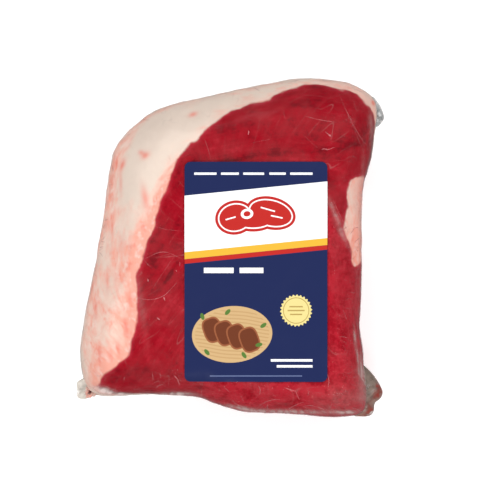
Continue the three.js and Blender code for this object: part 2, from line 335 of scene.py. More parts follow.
@dataclass
class WrappedForm:
    """The outer form of the joint in its film, as heights over the table."""

    thickness: float = 72.0
    rim_height: float = 31.0
    dome: float = 2.0
    girth: float = 105.0
    middle: Point = (-5.0, 0.0)
    flank: Sides = Sides(right=24, top=30, left=42, bottom=26)
    undercut: Sides = Sides(right=15, top=18, left=24, bottom=15)
    outline: Sequence[Point] = (
        (90, 5), (90.4, 36), (94.4, 53.5), (97.8, 66), (99.2, 78), (100.4, 89.5),
        (98.6, 101.6), (88, 109.8), (72.8, 114.5), (48, 116), (25.9, 112.5),
        (1.7, 107.6), (-23, 102), (-48, 95.6), (-66.2, 83.8), (-78, 69.6), (-82.4, 55),
        (-87.6, 17), (-95, -22), (-101.2, -55), (-103.2, -72), (-101.1, -89),
        (-94.5, -99.5), (-81, -101.8),
        (-55.5, -100.8), (-24.5, -102.5), (-10.7, -107), (6.6, -112.1), (48, -114.5),
        (76, -116.3), (89.6, -113.6), (93.3, -104), (92.1, -84.5), (89, -53.5),
        (90, -22.4),
    )
    swells: Sequence[Oval] = (
        Oval((47, 84), (56, 25), -4, 4),
        Oval((77, -58), (13, 46), 0, 2.4),
        Oval((-47, -44), (12, 42), 4, 1.6),
        Oval((28, -99), (16, 9), 0, 2.2),
        Oval((62, -101), (14, 9), 10, 2.4),
        Oval((-8, -95), (13, 9), -20, 2),
        Oval((-31, -93), (15, 10), 0, 6),
        Oval((-45, 74), (27, 15), 38, 3),
        Oval((-71, 10), (11, 36), 8, 2),
        Oval((-84, -56), (12, 30), 4, 2.5),
    )
    seams: Sequence[Seam] = (
        Seam((-22, 56), (90, 69), 0, 4, 1.4),
        Seam((62, 47), (92, 41), -3, 4, 2.4),
        Seam((15, -92), (11, -113), 0, 3.2, 2.4),
        Seam((43, -92), (52, -114), -2, 3, 2.2),
        Seam((-40, -88), (-18, -103), 2, 3, 1.6),
        Seam((-32, -2), (-52, -32), 1, 2.4, 1.2),
        Seam((-37, 54), (-66, -72), -7, 3, 1.2),
    )

    def __post_init__(self) -> None:
        """Tabulates the outline's distance from the middle by direction."""
        samples = curve_through(self.outline, 1440, closed=True) - self.middle
        angles = np.arctan2(samples[:, 1], samples[:, 0])
        order = np.argsort(angles)
        self._angles = angles[order]
        self._radii = np.linalg.norm(samples, axis=1)[order]

    def radius(self, angle: Array) -> Array:
        """The outline's distance from the middle in each direction."""
        return np.interp(angle, self._angles, self._radii, period=2 * math.pi)

    def swell_height(self, x: Array, y: Array) -> Array:
        """How far the bulges rise at each point."""
        return sum(swell.height * swell.at(x, y) for swell in self.swells)

    def seam_depth(self, x: Array, y: Array) -> Array:
        """How far the valleys sink at each point."""
        return sum(seam.depth * seam.at(x, y) for seam in self.seams)

    def rounding(self, angle: Array, reach: Array, sides: Sides) -> Array:
        """How far the rounding has risen, from 0 at the rim to 1 at the shoulder.

        Args:
            angle: The direction from the middle.
            reach: The share of the way from the middle to the outline.
            sides: The rounding's width.

        Returns:
            The share of the rise.
        """
        inset = np.minimum((1 - reach) * self.radius(angle) / sides.at(angle), 1)
        return np.sqrt(1 - (1 - inset) ** 2)

    def top(self, angle: Array, reach: Array, seams: float) -> Array:
        """Points of the top face.

        Args:
            angle: The direction from the middle.
            reach: The share of the way from the middle to the outline.
            seams: The share of the valleys' depth that shows.

        Returns:
            One row of x, y and z for each.
        """
        x = self.middle[0] + reach * self.radius(angle) * np.cos(angle)
        y = self.middle[1] + reach * self.radius(angle) * np.sin(angle)
        rise = self.rounding(angle, reach, self.flank)
        face = self.thickness - self.rim_height + self.dome * (1 - reach**2)
        face = face + self.swell_height(x, y)
        sunk = seams * self.seam_depth(x, y) * rise * rise
        return np.stack([x, y, self.rim_height + face * rise - sunk], axis=-1)

    def under(self, angle: Array, reach: Array) -> Array:
        """Points of the underside, one row for each direction and reach.

        Args:
            angle: The direction from the middle.
            reach: The share of the way from the middle to the outline.

        Returns:
            One row of x, y and z for each.
        """
        x = self.middle[0] + reach * self.radius(angle) * np.cos(angle)
        y = self.middle[1] + reach * self.radius(angle) * np.sin(angle)
        z = self.rim_height * (1 - self.rounding(angle, reach, self.undercut))
        return np.stack([x, y, z], axis=-1)

    def height_at(self, x: Array, y: Array) -> Array:
        """The height of the top face over points of the table, valleys bridged.

        Args:
            x: Places across.
            y: Places up the label.

        Returns:
            A height for each place.
        """
        angle = np.arctan2(y - self.middle[1], x - self.middle[0])
        reach = np.hypot(x - self.middle[0], y - self.middle[1]) / self.radius(angle)
        return self.top(angle, np.minimum(reach, 1), 0)[..., 2]

    def skin(self, cells: int, seams: float) -> Surface:
        """The whole closed surface, evenly divided on top and in rings below.

        Args:
            cells: How many cells cross the top face each way.
            seams: The share of the valleys' depth that shows.

        Returns:
            The mesh.
        """
        flat_share = 0.6
        under_rings = 14
        floor_rings = 6
        a, b = np.meshgrid(*[np.linspace(-1, 1, cells + 1)] * 2, indexing="xy")
        out = np.maximum(np.abs(a), np.abs(b))
        wide = np.abs(a) >= np.abs(b)
        ratio = np.where(wide, b, a) / np.where(out > 0, np.where(wide, a, b), 1)
        angle = np.where(wide, ratio, 2 - ratio) * math.pi / 4
        angle = angle + np.where(np.where(wide, a, b) < 0, math.pi, 0)
        shoulder = 1 - self.flank.at(angle) / self.radius(angle)
        part = np.clip((1 - out) / (1 - flat_share), 0, 1)
        turned = 1 - np.cos(part * math.pi / 2)
        reach = np.where(
            out < flat_share, shoulder * out / flat_share, 1 - (1 - shoulder) * turned
        )
        points = [self.top(angle.ravel(), reach.ravel(), seams)]
        side = cells + 1
        faces = [
            (j * side + i, j * side + i + 1, (j + 1) * side + i + 1, (j + 1) * side + i)
            for j in range(cells)
            for i in range(cells)
        ]
        rim = [i for i in range(cells)]
        rim += [j * side + cells for j in range(cells)]
        rim += [cells * side + i for i in range(cells, 0, -1)]
        rim += [j * side for j in range(cells, 0, -1)]
        around = angle.ravel()[rim]
        low_shoulder = 1 - self.undercut.at(around) / self.radius(around)
        above = np.array(rim)
        start = side * side
        steps = [
            1 - (1 - low_shoulder) * (1 - math.cos(k / under_rings * math.pi / 2))
            for k in range(1, under_rings + 1)
        ]
        steps += [low_shoulder * (1 - k / floor_rings) for k in range(1, floor_rings)]
        for step in steps:
            points.append(self.under(around, step))
            below = start + np.arange(len(rim))
            pairs = zip(above, np.roll(above, -1), np.roll(below, -1), below)
            faces += [(int(p), int(s), int(r), int(q)) for p, q, r, s in pairs]
            above = below
            start += len(rim)
        points.append(np.array([[*self.middle, 0.0]]))
        ends = zip(above, np.roll(above, -1))
        faces += [(int(p), start, int(q)) for p, q in ends]
        return Surface(np.vstack(points), faces)


def distance_to(points: Array, line: Array) -> tuple[Array, Array]:
    """How far points of the plane are from a line of short pieces.

    Args:
        points: One row of x and y for each point.
        line: The ends of the pieces, in order.

    Returns:
        The distance of each point, and on which side of the line it lies: 1 on the
        left of its direction and -1 on the right.
    """
    best = np.full(len(points), np.inf)
    side = np.ones(len(points))
    for start, end in zip(line[:-1], line[1:]):
        along = end - start
        offset = points - start
        share = np.clip(offset @ along / max(along @ along, 1e-9), 0, 1)
        gap = offset - share[:, None] * along
        distance = np.hypot(gap[:, 0], gap[:, 1])
        cross = along[0] * offset[:, 1] - along[1] * offset[:, 0]
        nearer = distance < best
        best = np.where(nearer, distance, best)
        side = np.where(nearer, np.where(cross >= 0, 1, -1), side)
    return best, side


@dataclass
class FatBoundary:
    """Where a layer of fat meets the lean, from the face with the label to the back."""

    front: Array
    back: Array
    outside: Sequence[Point]
    lean_on_left: bool
    turns: Point = (15, 58)
    heights: Sequence[float] = (-6, 8, 16, 24, 32, 40, 48, 56, 64, 92)

    def line(self, height: float) -> Array:
        """The boundary at one height."""
        turned = float(smoothstep(np.array(height), *self.turns))
        return self.back + (self.front - self.back) * turned

    def distance(self, points: Array) -> Array:
        """How far each point is inside the lean; it is negative in the fat.

        Args:
            points: One row of x, y and z for each point.

        Returns:
            A distance for each point.
        """
        levels = 48
        turned = smoothstep(points[:, 2], *self.turns)
        level = np.round(turned * levels).astype(int)
        found = np.zeros(len(points))
        for step in np.unique(level):
            line = self.back + (self.front - self.back) * step / levels
            at = level == step
            distance, side = distance_to(points[at, :2], line)
            found[at] = distance * side
        return found if self.lean_on_left else -found

    def cutter(self, name: str) -> bpy.types.Object:
        """A closed solid of everything on the fat's side of the boundary.

        Args:
            name: The name of the solid.

        Returns:
            The solid, as a Blender object.
        """
        outside = np.array(self.outside, float).reshape(-1, 2)
        rings = [np.vstack([self.line(z), outside]) for z in self.heights]
        if self.lean_on_left:
            rings = [ring[::-1] for ring in rings]
        count = len(rings[0])
        points = np.vstack(
            [
                np.column_stack([ring, np.full(count, z)])
                for ring, z in zip(rings, self.heights)
            ]
        )
        faces: list[tuple[int, ...]] = []
        for k in range(len(rings) - 1):
            for i in range(count):
                a = k * count + i
                b = k * count + (i + 1) % count
                faces.append((a, b, b + count, a + count))
        top = (len(rings) - 1) * count
        faces.append(tuple(range(count))[::-1])
        faces.append(tuple(range(top, top + count)))
        thing = Surface(points, faces).to_object(name, smooth=False)
        triangles = thing.modifiers.new("triangles", "TRIANGULATE")
        triangles.ngon_method = "CLIP"
        return thing


def fat_cap_boundary() -> FatBoundary:
    """The boundary of the thick fat from the upper right corner round the left.

    Returns:
        The boundary.
    """
    front = (
        (112, 80), (99.4, 89), (94.6, 94.8), (86, 103), (76, 107.6), (60, 110.4),
        (46, 108.4), (38, 106), (30, 102.4), (22, 99.4), (11, 96.6), (1, 92.4), (-9, 85),
        (-25, 70.5), (-36, 55.5), (-43, 37), (-51, 17), (-58, -5), (-62.5, -24),
        (-63.6, -50), (-68, -71.5), (-75, -78.6), (-83.4, -85.6), (-89, -93.5),
        (-97, -110),
    )
    back = (
        (112, 60), (102, 62.5), (95, 66), (86, 71), (76, 76), (62, 80), (50, 80.5),
        (40, 79), (32, 76), (24, 73.4), (12, 70.6), (2, 66.5), (-7, 61), (-18, 50),
        (-26, 36), (-32, 20), (-38, 2), (-42, -16), (-43, -34), (-42, -52), (-39, -68),
        (-36, -79), (-33, -89), (-29, -101), (-24, -122),
    )
    steps = 144
    return FatBoundary(
        front=curve_through(front, steps, closed=False),
        back=curve_through(back, steps, closed=False),
        outside=((-130, -125), (-130, 130), (125, 130)),
        lean_on_left=True,
    )


def side_fat_boundary() -> FatBoundary:
    """The boundary of the strip of fat at the right side.

    Returns:
        The boundary.
    """
    front = (
        (108, 49), (86.5, 47.5), (80.5, 43), (79.5, 30), (79, 18), (77.5, 8), (82, -2),
        (86.5, -12), (108, -19),
    )
    about = np.array([98.0, 15.0])
    scale = 0.72
    line = curve_through(front, 64, closed=False)
    return FatBoundary(
        front=line,
        back=(line - about) * scale + about,
        outside=(),
        lean_on_left=False,
    )


class Num:
    """A number that varies over a surface: a socket that takes Python's operators."""

    def __init__(self, graph: "Graph", socket: bpy.types.NodeSocket) -> None:
        """Wraps a socket of a graph."""
        self.graph = graph
        self.socket = socket

    def _math(self, operation: str, *values: Any) -> "Num":
        """Adds a Math node on this and other values, and returns its result.

        Args:
            operation: The node's operation.
            values: What its sockets take, in order.

        Returns:
            The result.
        """
        settings = {"operation": operation}
        node = self.graph.node("Math", settings, dict(enumerate(values)))
        return Num(self.graph, node.outputs[0])

    def __add__(self, other: Any) -> "Num":
        """This plus other."""
        return self._math("ADD", self, other)

    def __radd__(self, other: Any) -> "Num":
        """Other plus this."""
        return self._math("ADD", other, self)

    def __sub__(self, other: Any) -> "Num":
        """This less other."""
        return self._math("SUBTRACT", self, other)

    def __rsub__(self, other: Any) -> "Num":
        """Other less this."""
        return self._math("SUBTRACT", other, self)

    def __mul__(self, other: Any) -> "Num":
        """This times other."""
        return self._math("MULTIPLY", self, other)

    def __rmul__(self, other: Any) -> "Num":
        """Other times this."""
        return self._math("MULTIPLY", other, self)

    def __truediv__(self, other: Any) -> "Num":
        """This over other."""
        return self._math("DIVIDE", self, other)

    def __pow__(self, other: Any) -> "Num":
        """This to the power of other."""
        return self._math("POWER", self, other)

    def __abs__(self) -> "Num":
        """This without its sign."""
        return self._math("ABSOLUTE", self)

    def least(self, other: Any) -> "Num":
        """The smaller of this and other."""
        return self._math("MINIMUM", self, other)

    def most(self, other: Any) -> "Num":
        """The larger of this and other."""
        return self._math("MAXIMUM", self, other)

    def sine(self) -> "Num":
        """The sine of this, in radians."""
        return self._math("SINE", self)

    def bearing(self, other: Any) -> "Num":
        """The angle whose tangent is this over other."""
        return self._math("ARCTAN2", self, other)

    def rise(self, low: float, high: float) -> "Num":
        """Rises smoothly from 0 where this is low to 1 where it is high.

        Args:
            low: The value at which the rise starts.
            high: The value at which it ends.

        Returns:
            A number of 0 to 1.
        """
        settings = {"interpolation_type": "SMOOTHSTEP", "clamp": True}
        inputs = {"Value": self, "From Min": low, "From Max": high}
        node = self.graph.node("MapRange", settings, inputs)
        return Num(self.graph, node.outputs["Result"])

    def spread(self, low: float, high: float) -> "Num":
        """Runs straight from low where this is 0 to high where it is 1."""
        return low + (high - low) * self


class Graph:
    """The node tree of one material, or of the world."""

    def __init__(self, owner: bpy.types.Material | bpy.types.World) -> None:
        """Starts with an empty tree.

        Args:
            owner: The material or world that the tree belongs to.
        """
        self.owner = owner
        owner.use_nodes = True
        self.tree = owner.node_tree
        self.tree.nodes.clear()

    @classmethod
    def of_material(cls, name: str) -> "Graph":
        """Starts a new material with an empty tree."""
        return cls(bpy.data.materials.new(name))

    def node(
        self,
        kind: str,
        settings: dict[str, Any] | None = None,
        inputs: dict[Any, Any] | None = None,
    ) -> bpy.types.Node:
        """Adds a node.

        Args:
            kind: The node's type, without its ShaderNode prefix.
            settings: The node's own properties; stops are a ramp's places and colours.
            inputs: What each socket takes, by its name or number.

        Returns:
            The node.
        """
        node = self.tree.nodes.new("ShaderNode" + kind)
        for name, value in (settings or {}).items():
            if name == "stops":
                self._set_stops(node.color_ramp, value)
            else:
                setattr(node, name, value)
        for key, value in (inputs or {}).items():
            self._feed(node.inputs[key], value)
        return node

    @staticmethod
    def _set_stops(ramp: bpy.types.ColorRamp, stops: Sequence[tuple]) -> None:
        """Gives a ramp its stops, each a place and a colour.

        Args:
            ramp: The ramp.
            stops: The stops, in order of their places.
        """
        while len(ramp.elements) < len(stops):
            ramp.elements.new(1.0)
        for element, (place, colour) in zip(ramp.elements, stops):
            element.position = place
            element.color = (*colour, 1.0)

    def _feed(self, socket: bpy.types.NodeSocket, value: Any) -> None:
        """Links a socket to another, or sets its value.

        Args:
            socket: The socket that takes the value.
            value: A number of the surface, a socket or a plain value.
        """
        if isinstance(value, Num):
            value = value.socket
        if isinstance(value, bpy.types.NodeSocket):
            self.tree.links.new(value, socket)
        elif socket.type == "RGBA":
            socket.default_value = (*value, 1.0)
        else:
            socket.default_value = value

    def place(self) -> bpy.types.NodeSocket:
        """The place on the surface, in metres."""
        return self.node("TexCoord").outputs["Object"]

    def axes(self) -> tuple[Num, Num, Num]:
        """The place on the surface as x, y and z, in millimetres."""
        split = self.node("SeparateXYZ", inputs={0: self.place()})
        return tuple(Num(self, axis) / MM for axis in split.outputs)

    def stored(self, name: str) -> Num:
        """A number that the mesh keeps for each vertex."""
        node = self.node("Attribute", {"attribute_name": name})
        return Num(self, node.outputs["Fac"])

    def stored_place(self, name: str) -> bpy.types.NodeSocket:
        """A vector that the mesh keeps for each vertex."""
        node = self.node("Attribute", {"attribute_name": name})
        return node.outputs["Vector"]

    def noise(
        self,
        at: bpy.types.NodeSocket,
        size: float | Sequence[float],
        detail: float = 3.0,
        roughness: float = 0.55,
        shift: float = 0.0,
        distortion: float = 0.0,
    ) -> Num:
        """Noise of 0 to 1.

        Args:
            at: The place to read it at.
            size: The width of a lump in the units of the place, or one for each axis.
            detail: How many finer layers it has.
            roughness: How strong the finer layers are.
            shift: Moves the noise, so that two fields differ.
            distortion: How far it is bent by itself.

        Returns:
            The noise.
        """
        sizes = size if isinstance(size, Sequence) else (size, size, size)
        inputs = {
            "Vector": at,
            "Location": (shift, shift, shift),
            "Scale": tuple(1 / each for each in sizes),
        }
        mapped = self.node("Mapping", inputs=inputs).outputs[0]
        inputs = {
            "Vector": mapped,
            "Scale": 1.0,
            "Detail": detail,
            "Roughness": roughness,
            "Distortion": distortion,
        }
        return Num(self, self.node("TexNoise", inputs=inputs).outputs["Fac"])

    def mix(self, first: Any, second: Any, share: Any) -> bpy.types.NodeSocket:
        """Mixes two colours.

        Args:
            first: The colour where share is 0.
            second: The colour where share is 1.
            share: How much of the second shows.

        Returns:
            The mixed colour.
        """
        settings = {"data_type": "RGBA", "clamp_factor": True}
        node = self.node("Mix", settings)
        self._feed(node.inputs[0], share)
        self._feed(node.inputs[6], first)
        self._feed(node.inputs[7], second)
        return node.outputs[2]

    def bump(self, height: Num, depth: float) -> bpy.types.NodeSocket:
        """A normal from a height of 0 to 1 that stands for depth millimetres."""
        inputs = {"Height": height, "Distance": depth * MM}
        return self.node("Bump", inputs=inputs).outputs[0]

    def finish(self, shader: bpy.types.NodeSocket) -> bpy.types.Material:
        """Sends a shader to the material's output and returns the material."""
        self.node("OutputMaterial", inputs={"Surface": shader})
        return self.owner


@dataclass(frozen=True)
class MeatFinish:
    """Raw beef under film. Fat and lean share it, and blend at their boundary."""

    name: str
    deep: Colour = linear(112, 7, 21)
    lean: Colour = linear(149, 13, 29)
    bright: Colour = linear(172, 32, 46)
    cream: Colour = linear(219, 203, 190)
    warm: Colour = linear(229, 202, 188)
    blush: Colour = linear(235, 169, 151)
    pale: Colour = linear(234, 213, 203)
    stain: Colour = linear(226, 118, 102)
    edge: Colour = linear(214, 138, 124)
    border: Colour = linear(190, 60, 76)
    rough: float = 0.42
    shine: float = 0.02
    relief: float = 0.22

    def lean_colour(self, graph: Graph) -> bpy.types.NodeSocket:
        """The lean: fibres, painted shade in its valleys, brighter cut ends with a painted
        film sheen at the bottom, and a few pale lines.

        Args:
            graph: The material's nodes.

        Returns:
            The colour.
        """
        place = graph.place()
        grain = graph.stored_place("grain")
        patches = graph.noise(place, 0.022, detail=4, distortion=0.6)
        mottle = graph.noise(place, 0.0055, detail=4, roughness=0.62, shift=3.1)
        fibres = graph.noise(grain, (26.0, 1.5, 6.0), detail=4, roughness=0.6)
        strands = graph.noise(grain, (60.0, 4.2, 12.0), detail=2, shift=7.7)
        # Brighter cut ends at the right; along the bottom the same brightening is a painted
        # sheen of the film.
        cut = graph.stored("cut_end_and_sheen")
        # Painted shade: darker in the seams and grooves of the lean, and at a few small
        # spots.
        hollow_shade = graph.stored("hollow_shade")
        fleck = graph.noise(place, 0.0019, detail=3, roughness=0.6, shift=8.6)
        tone = patches.rise(0.34, 0.68) * 0.5 - cut * 0.12
        tone = tone + mottle.rise(0.32, 0.7) * (cut * 0.24 + 0.36)
        tone = tone + fibres.rise(0.25, 0.75) * 0.18 + strands.rise(0.35, 0.7) * 0.2
        tone = tone + (fleck.rise(0.3, 0.7) - 0.5) * (cut * 0.36 + 0.18) - 0.24
        # Adds the brightening of the cut ends and the painted film sheen, and takes away the
        # painted shade of the valleys.
        tone = tone + cut * 0.46 - hollow_shade * 0.6
        colour = graph.mix(self.deep, self.lean, tone.rise(-0.35, 0.32))
        colour = graph.mix(colour, self.bright, tone.rise(0.3, 1.15))
        pale = graph.noise(grain, (16.0, 1.1, 5.0), detail=3, shift=12.3)
        seams = pale.rise(0.64, 0.78) * mottle.rise(0.4, 0.6)
        return graph.mix(colour, self.edge, seams * (cut * 0.42 + 0.16))

    def fat_colour(self, graph: Graph) -> bpy.types.NodeSocket:
        """The fat: cream, blushing where it is thin, with stains along its grain.

        Args:
            graph: The material's nodes.

        Returns:
            The colour.
        """
        place = graph.place()
        grain = graph.stored_place("grain")
        blush = graph.stored("blush")
        clouds = graph.noise(place, 0.019, detail=4, distortion=0.8, shift=1.7)
        streaks = graph.noise(grain, (17.0, 4.0, 9.0), detail=4, roughness=0.6)
        fine = graph.noise(grain, (6.0, 1.8, 4.0), detail=3, shift=4.4)
        flush = clouds.rise(0.35, 0.7) * 0.5 + streaks.rise(0.36, 0.72) * 0.5
        flush = flush * blush.spread(0.35, 1.3) + blush * 0.7 - 0.2
        colour = graph.mix(self.cream, self.warm, blush.rise(0.08, 0.5))
        colour = graph.mix(colour, self.blush, flush.rise(0.0, 0.85))
        patches = graph.noise(grain, (9.0, 4.5, 7.0), detail=4, shift=9.1)
        patches = patches.rise(0.48, 0.68) * blush.rise(0.1, 0.5)
        colour = graph.mix(colour, self.pale, patches * 0.55)
        veins = graph.noise(place, (0.0032, 0.0085, 0.006), detail=4, shift=6.6)
        stains = streaks.rise(0.5, 0.74) * fine.rise(0.38, 0.7) * 0.7
        stains = stains + veins.rise(0.52, 0.72) * clouds.rise(0.36, 0.6) * 0.6
        stains = stains * blush.rise(0.05, 0.6) + graph.stored("stain")
        return graph.mix(colour, self.stain, (stains * 0.85).least(0.8))

    def build(self) -> bpy.types.Material:
        """Makes the material.

        Returns:
            The material.
        """
        graph = Graph.of_material(self.name)
        place = graph.place()
        wander = graph.noise(place, 0.013, detail=1.5, shift=5.2) - 0.5
        ragged = graph.noise(place, 0.0022, detail=1, shift=9.4) - 0.5
        inside = graph.stored("inside_lean") + wander * 7.0 + ragged * 0.7
        leanness = inside.rise(-1.0, 0.9)
        lean = self.lean_colour(graph)
        fat = self.fat_colour(graph)
        rim = (1 - inside.rise(-0.4, 3.4)) * leanness
        lean = graph.mix(lean, self.border, rim * 0.4)
        colour = graph.mix(fat, lean, leanness)
        grain = graph.stored_place("grain")
        fibres = graph.noise(grain, (14.0, 0.9, 4.0), detail=3, roughness=0.6)
        pebble = graph.noise(place, 0.0035, detail=3, shift=2.2)
        relief = fibres * 0.5 * leanness + pebble * 0.5
        inputs = {
            "Base Color": colour,
            "Roughness": self.rough,
            "Specular IOR Level": self.shine,
            "Normal": graph.bump(relief, self.relief),
        }
        return graph.finish(graph.node("BsdfPrincipled", inputs=inputs).outputs[0])


@dataclass(frozen=True)
class FilmFinish:
    """Clear film: a little gloss where it clings, and milky where it gathers."""

    name: str
    milk: Colour = linear(236, 212, 206)
    # The colour of meat liquid in the film; one corner sets it white for a painted highlight.
    juice_and_glint: Colour = linear(128, 66, 52)
    clear: Colour = WHITE
    gloss: float = 0.12
    bend: float = 1.16
    shine: float = 0.55
    relief: float = 0.34
    veil: float = 0.018
    threads: float = 0.09
    wrinkled: float = 0.55

    def thread(self, graph: Graph, flow: bpy.types.NodeSocket, shift: float) -> Num:
        """Thin broken lines, as fine creases of the film make them.

        Args:
            graph: The material's nodes.
            flow: The coordinates along and across the wrinkles.
            shift: Moves the lines, so that two sets differ.

        Returns:
            1 on a line and 0 elsewhere.
        """
        field = graph.noise(flow, (60.0, 15.0, 20.0), detail=0.6, shift=shift)
        gaps = graph.noise(graph.place(), 0.016, detail=2, shift=shift + 3.0)
        line = 1 - abs(field - 0.5).rise(0.0, 0.008)
        return line * gaps.rise(0.45, 0.7)

    def build(self) -> bpy.types.Material:
        """Makes the material.

        Returns:
            The material.
        """
        graph = Graph.of_material(self.name)
        place = graph.place()
        flow = graph.stored_place("flow")
        wrinkles = graph.noise(flow, (24.0, 3.2, 22.0), detail=2.5, roughness=0.5)
        crinkle = graph.noise(place, 0.007, detail=4, roughness=0.65, shift=6.1)
        folds = 1 - abs(crinkle - 0.5) * 2
        height = wrinkles * 0.4 + folds * 0.6
        normal = graph.bump(height, self.relief)
        haze = graph.stored("haze")
        milky = haze * wrinkles.rise(0.34, 0.64).spread(1 - self.wrinkled, 1.0)
        clouds = graph.noise(place, 0.024, detail=4, distortion=0.7, shift=1.3)
        veil = self.veil * (clouds.rise(0.3, 0.65) + wrinkles.rise(0.5, 0.7) * 0.3)
        lines = self.thread(graph, flow, 0.7).most(self.thread(graph, flow, 5.9))
        milky = milky + veil + lines * self.threads
        # Meat liquid in the film, and on one corner a painted white highlight.
        juice_and_glint_share = graph.stored("juice_and_glint") * crinkle.rise(0.3, 0.6)
        clear = graph.node("BsdfTransparent", inputs={"Color": self.clear})
        mirror = graph.node(
            "BsdfGlossy",
            inputs={"Color": WHITE, "Roughness": self.gloss, "Normal": normal},
        )
        edge = graph.node("Fresnel", inputs={"IOR": self.bend, "Normal": normal})
        mirrored = Num(graph, edge.outputs[0]) * self.shine
        inputs = {0: mirrored, 1: clear.outputs[0], 2: mirror.outputs[0]}
        film = graph.node("MixShader", inputs=inputs)
        colour = graph.mix(self.milk, self.juice_and_glint, juice_and_glint_share)
        inputs = {"Base Color": colour, "Roughness": 0.3, "Normal": normal}
        filled = graph.node("BsdfPrincipled", inputs=inputs)
        share = milky.most(juice_and_glint_share).least(0.95)
        inputs = {0: share, 1: film.outputs[0], 2: filled.outputs[0]}
        return graph.finish(graph.node("MixShader", inputs=inputs).outputs[0])


@dataclass
class Ink:
    """Draws flat shapes on the label, in millimetres from its middle."""

    graph: Graph
    middle: Point
    soft: float = 0.12

    def __post_init__(self) -> None:
        """Finds the place on the label."""
        x, y, _ = self.graph.axes()
        self.u = x - self.middle[0]
        self.v = y - self.middle[1]

    def inside(self, value: Num, limit: Any) -> Num:
        """1 where a value is below a limit, with a slightly soft edge."""
        return 1 - (value - limit).rise(-self.soft, self.soft)

    def turned(self, middle: Point, turn: float) -> tuple[Num, Num]:
        """Places relative to a shape's own middle and turn.

        Args:
            middle: The shape's middle.
            turn: Its turn in degrees.

        Returns:
            The distances along and across the shape.
        """
        angle = math.radians(turn)
        du = self.u - middle[0]
        dv = self.v - middle[1]
        along = du * math.cos(angle) + dv * math.sin(angle)
        across = dv * math.cos(angle) - du * math.sin(angle)
        return along, across

    def bar(self, middle: Point, size: Point, turn: float = 0.0) -> Num:
        """A straight bar.

        Args:
            middle: Its middle.
            size: Its length and width.
            turn: Its turn in degrees.

        Returns:
            1 inside and 0 outside.
        """
        along, across = self.turned(middle, turn)
        ends = self.inside(abs(along), size[0] / 2)
        return ends * self.inside(abs(across), size[1] / 2)

    def oval(
        self, middle: Point, half: Point, turn: float = 0.0, power: float = 2.0
    ) -> Num:
        """An oval, or with a power above 2 a bar with round corners.

        Args:
            middle: Its middle.
            half: Half its length and half its width.
            turn: Its turn in degrees.
            power: How square its corners are.

        Returns:
            1 inside and 0 outside.
        """
        along, across = self.turned(middle, turn)
        reach = abs(along / half[0]) ** power + abs(across / half[1]) ** power
        return self.inside(reach ** (1 / power) * min(half), min(half))

    def scalloped(self, middle: Point, radius: float, wave: float, count: int) -> Num:
        """A disc with a wavy edge.

        Args:
            middle: Its middle.
            radius: Its mean radius.
            wave: How far its edge goes in and out.
            count: How many waves its edge has.

        Returns:
            1 inside and 0 outside.
        """
        du, dv = self.turned(middle, 0)
        reach = (du * du + dv * dv) ** 0.5
        return self.inside(reach, (dv.bearing(du) * count).sine() * wave + radius)


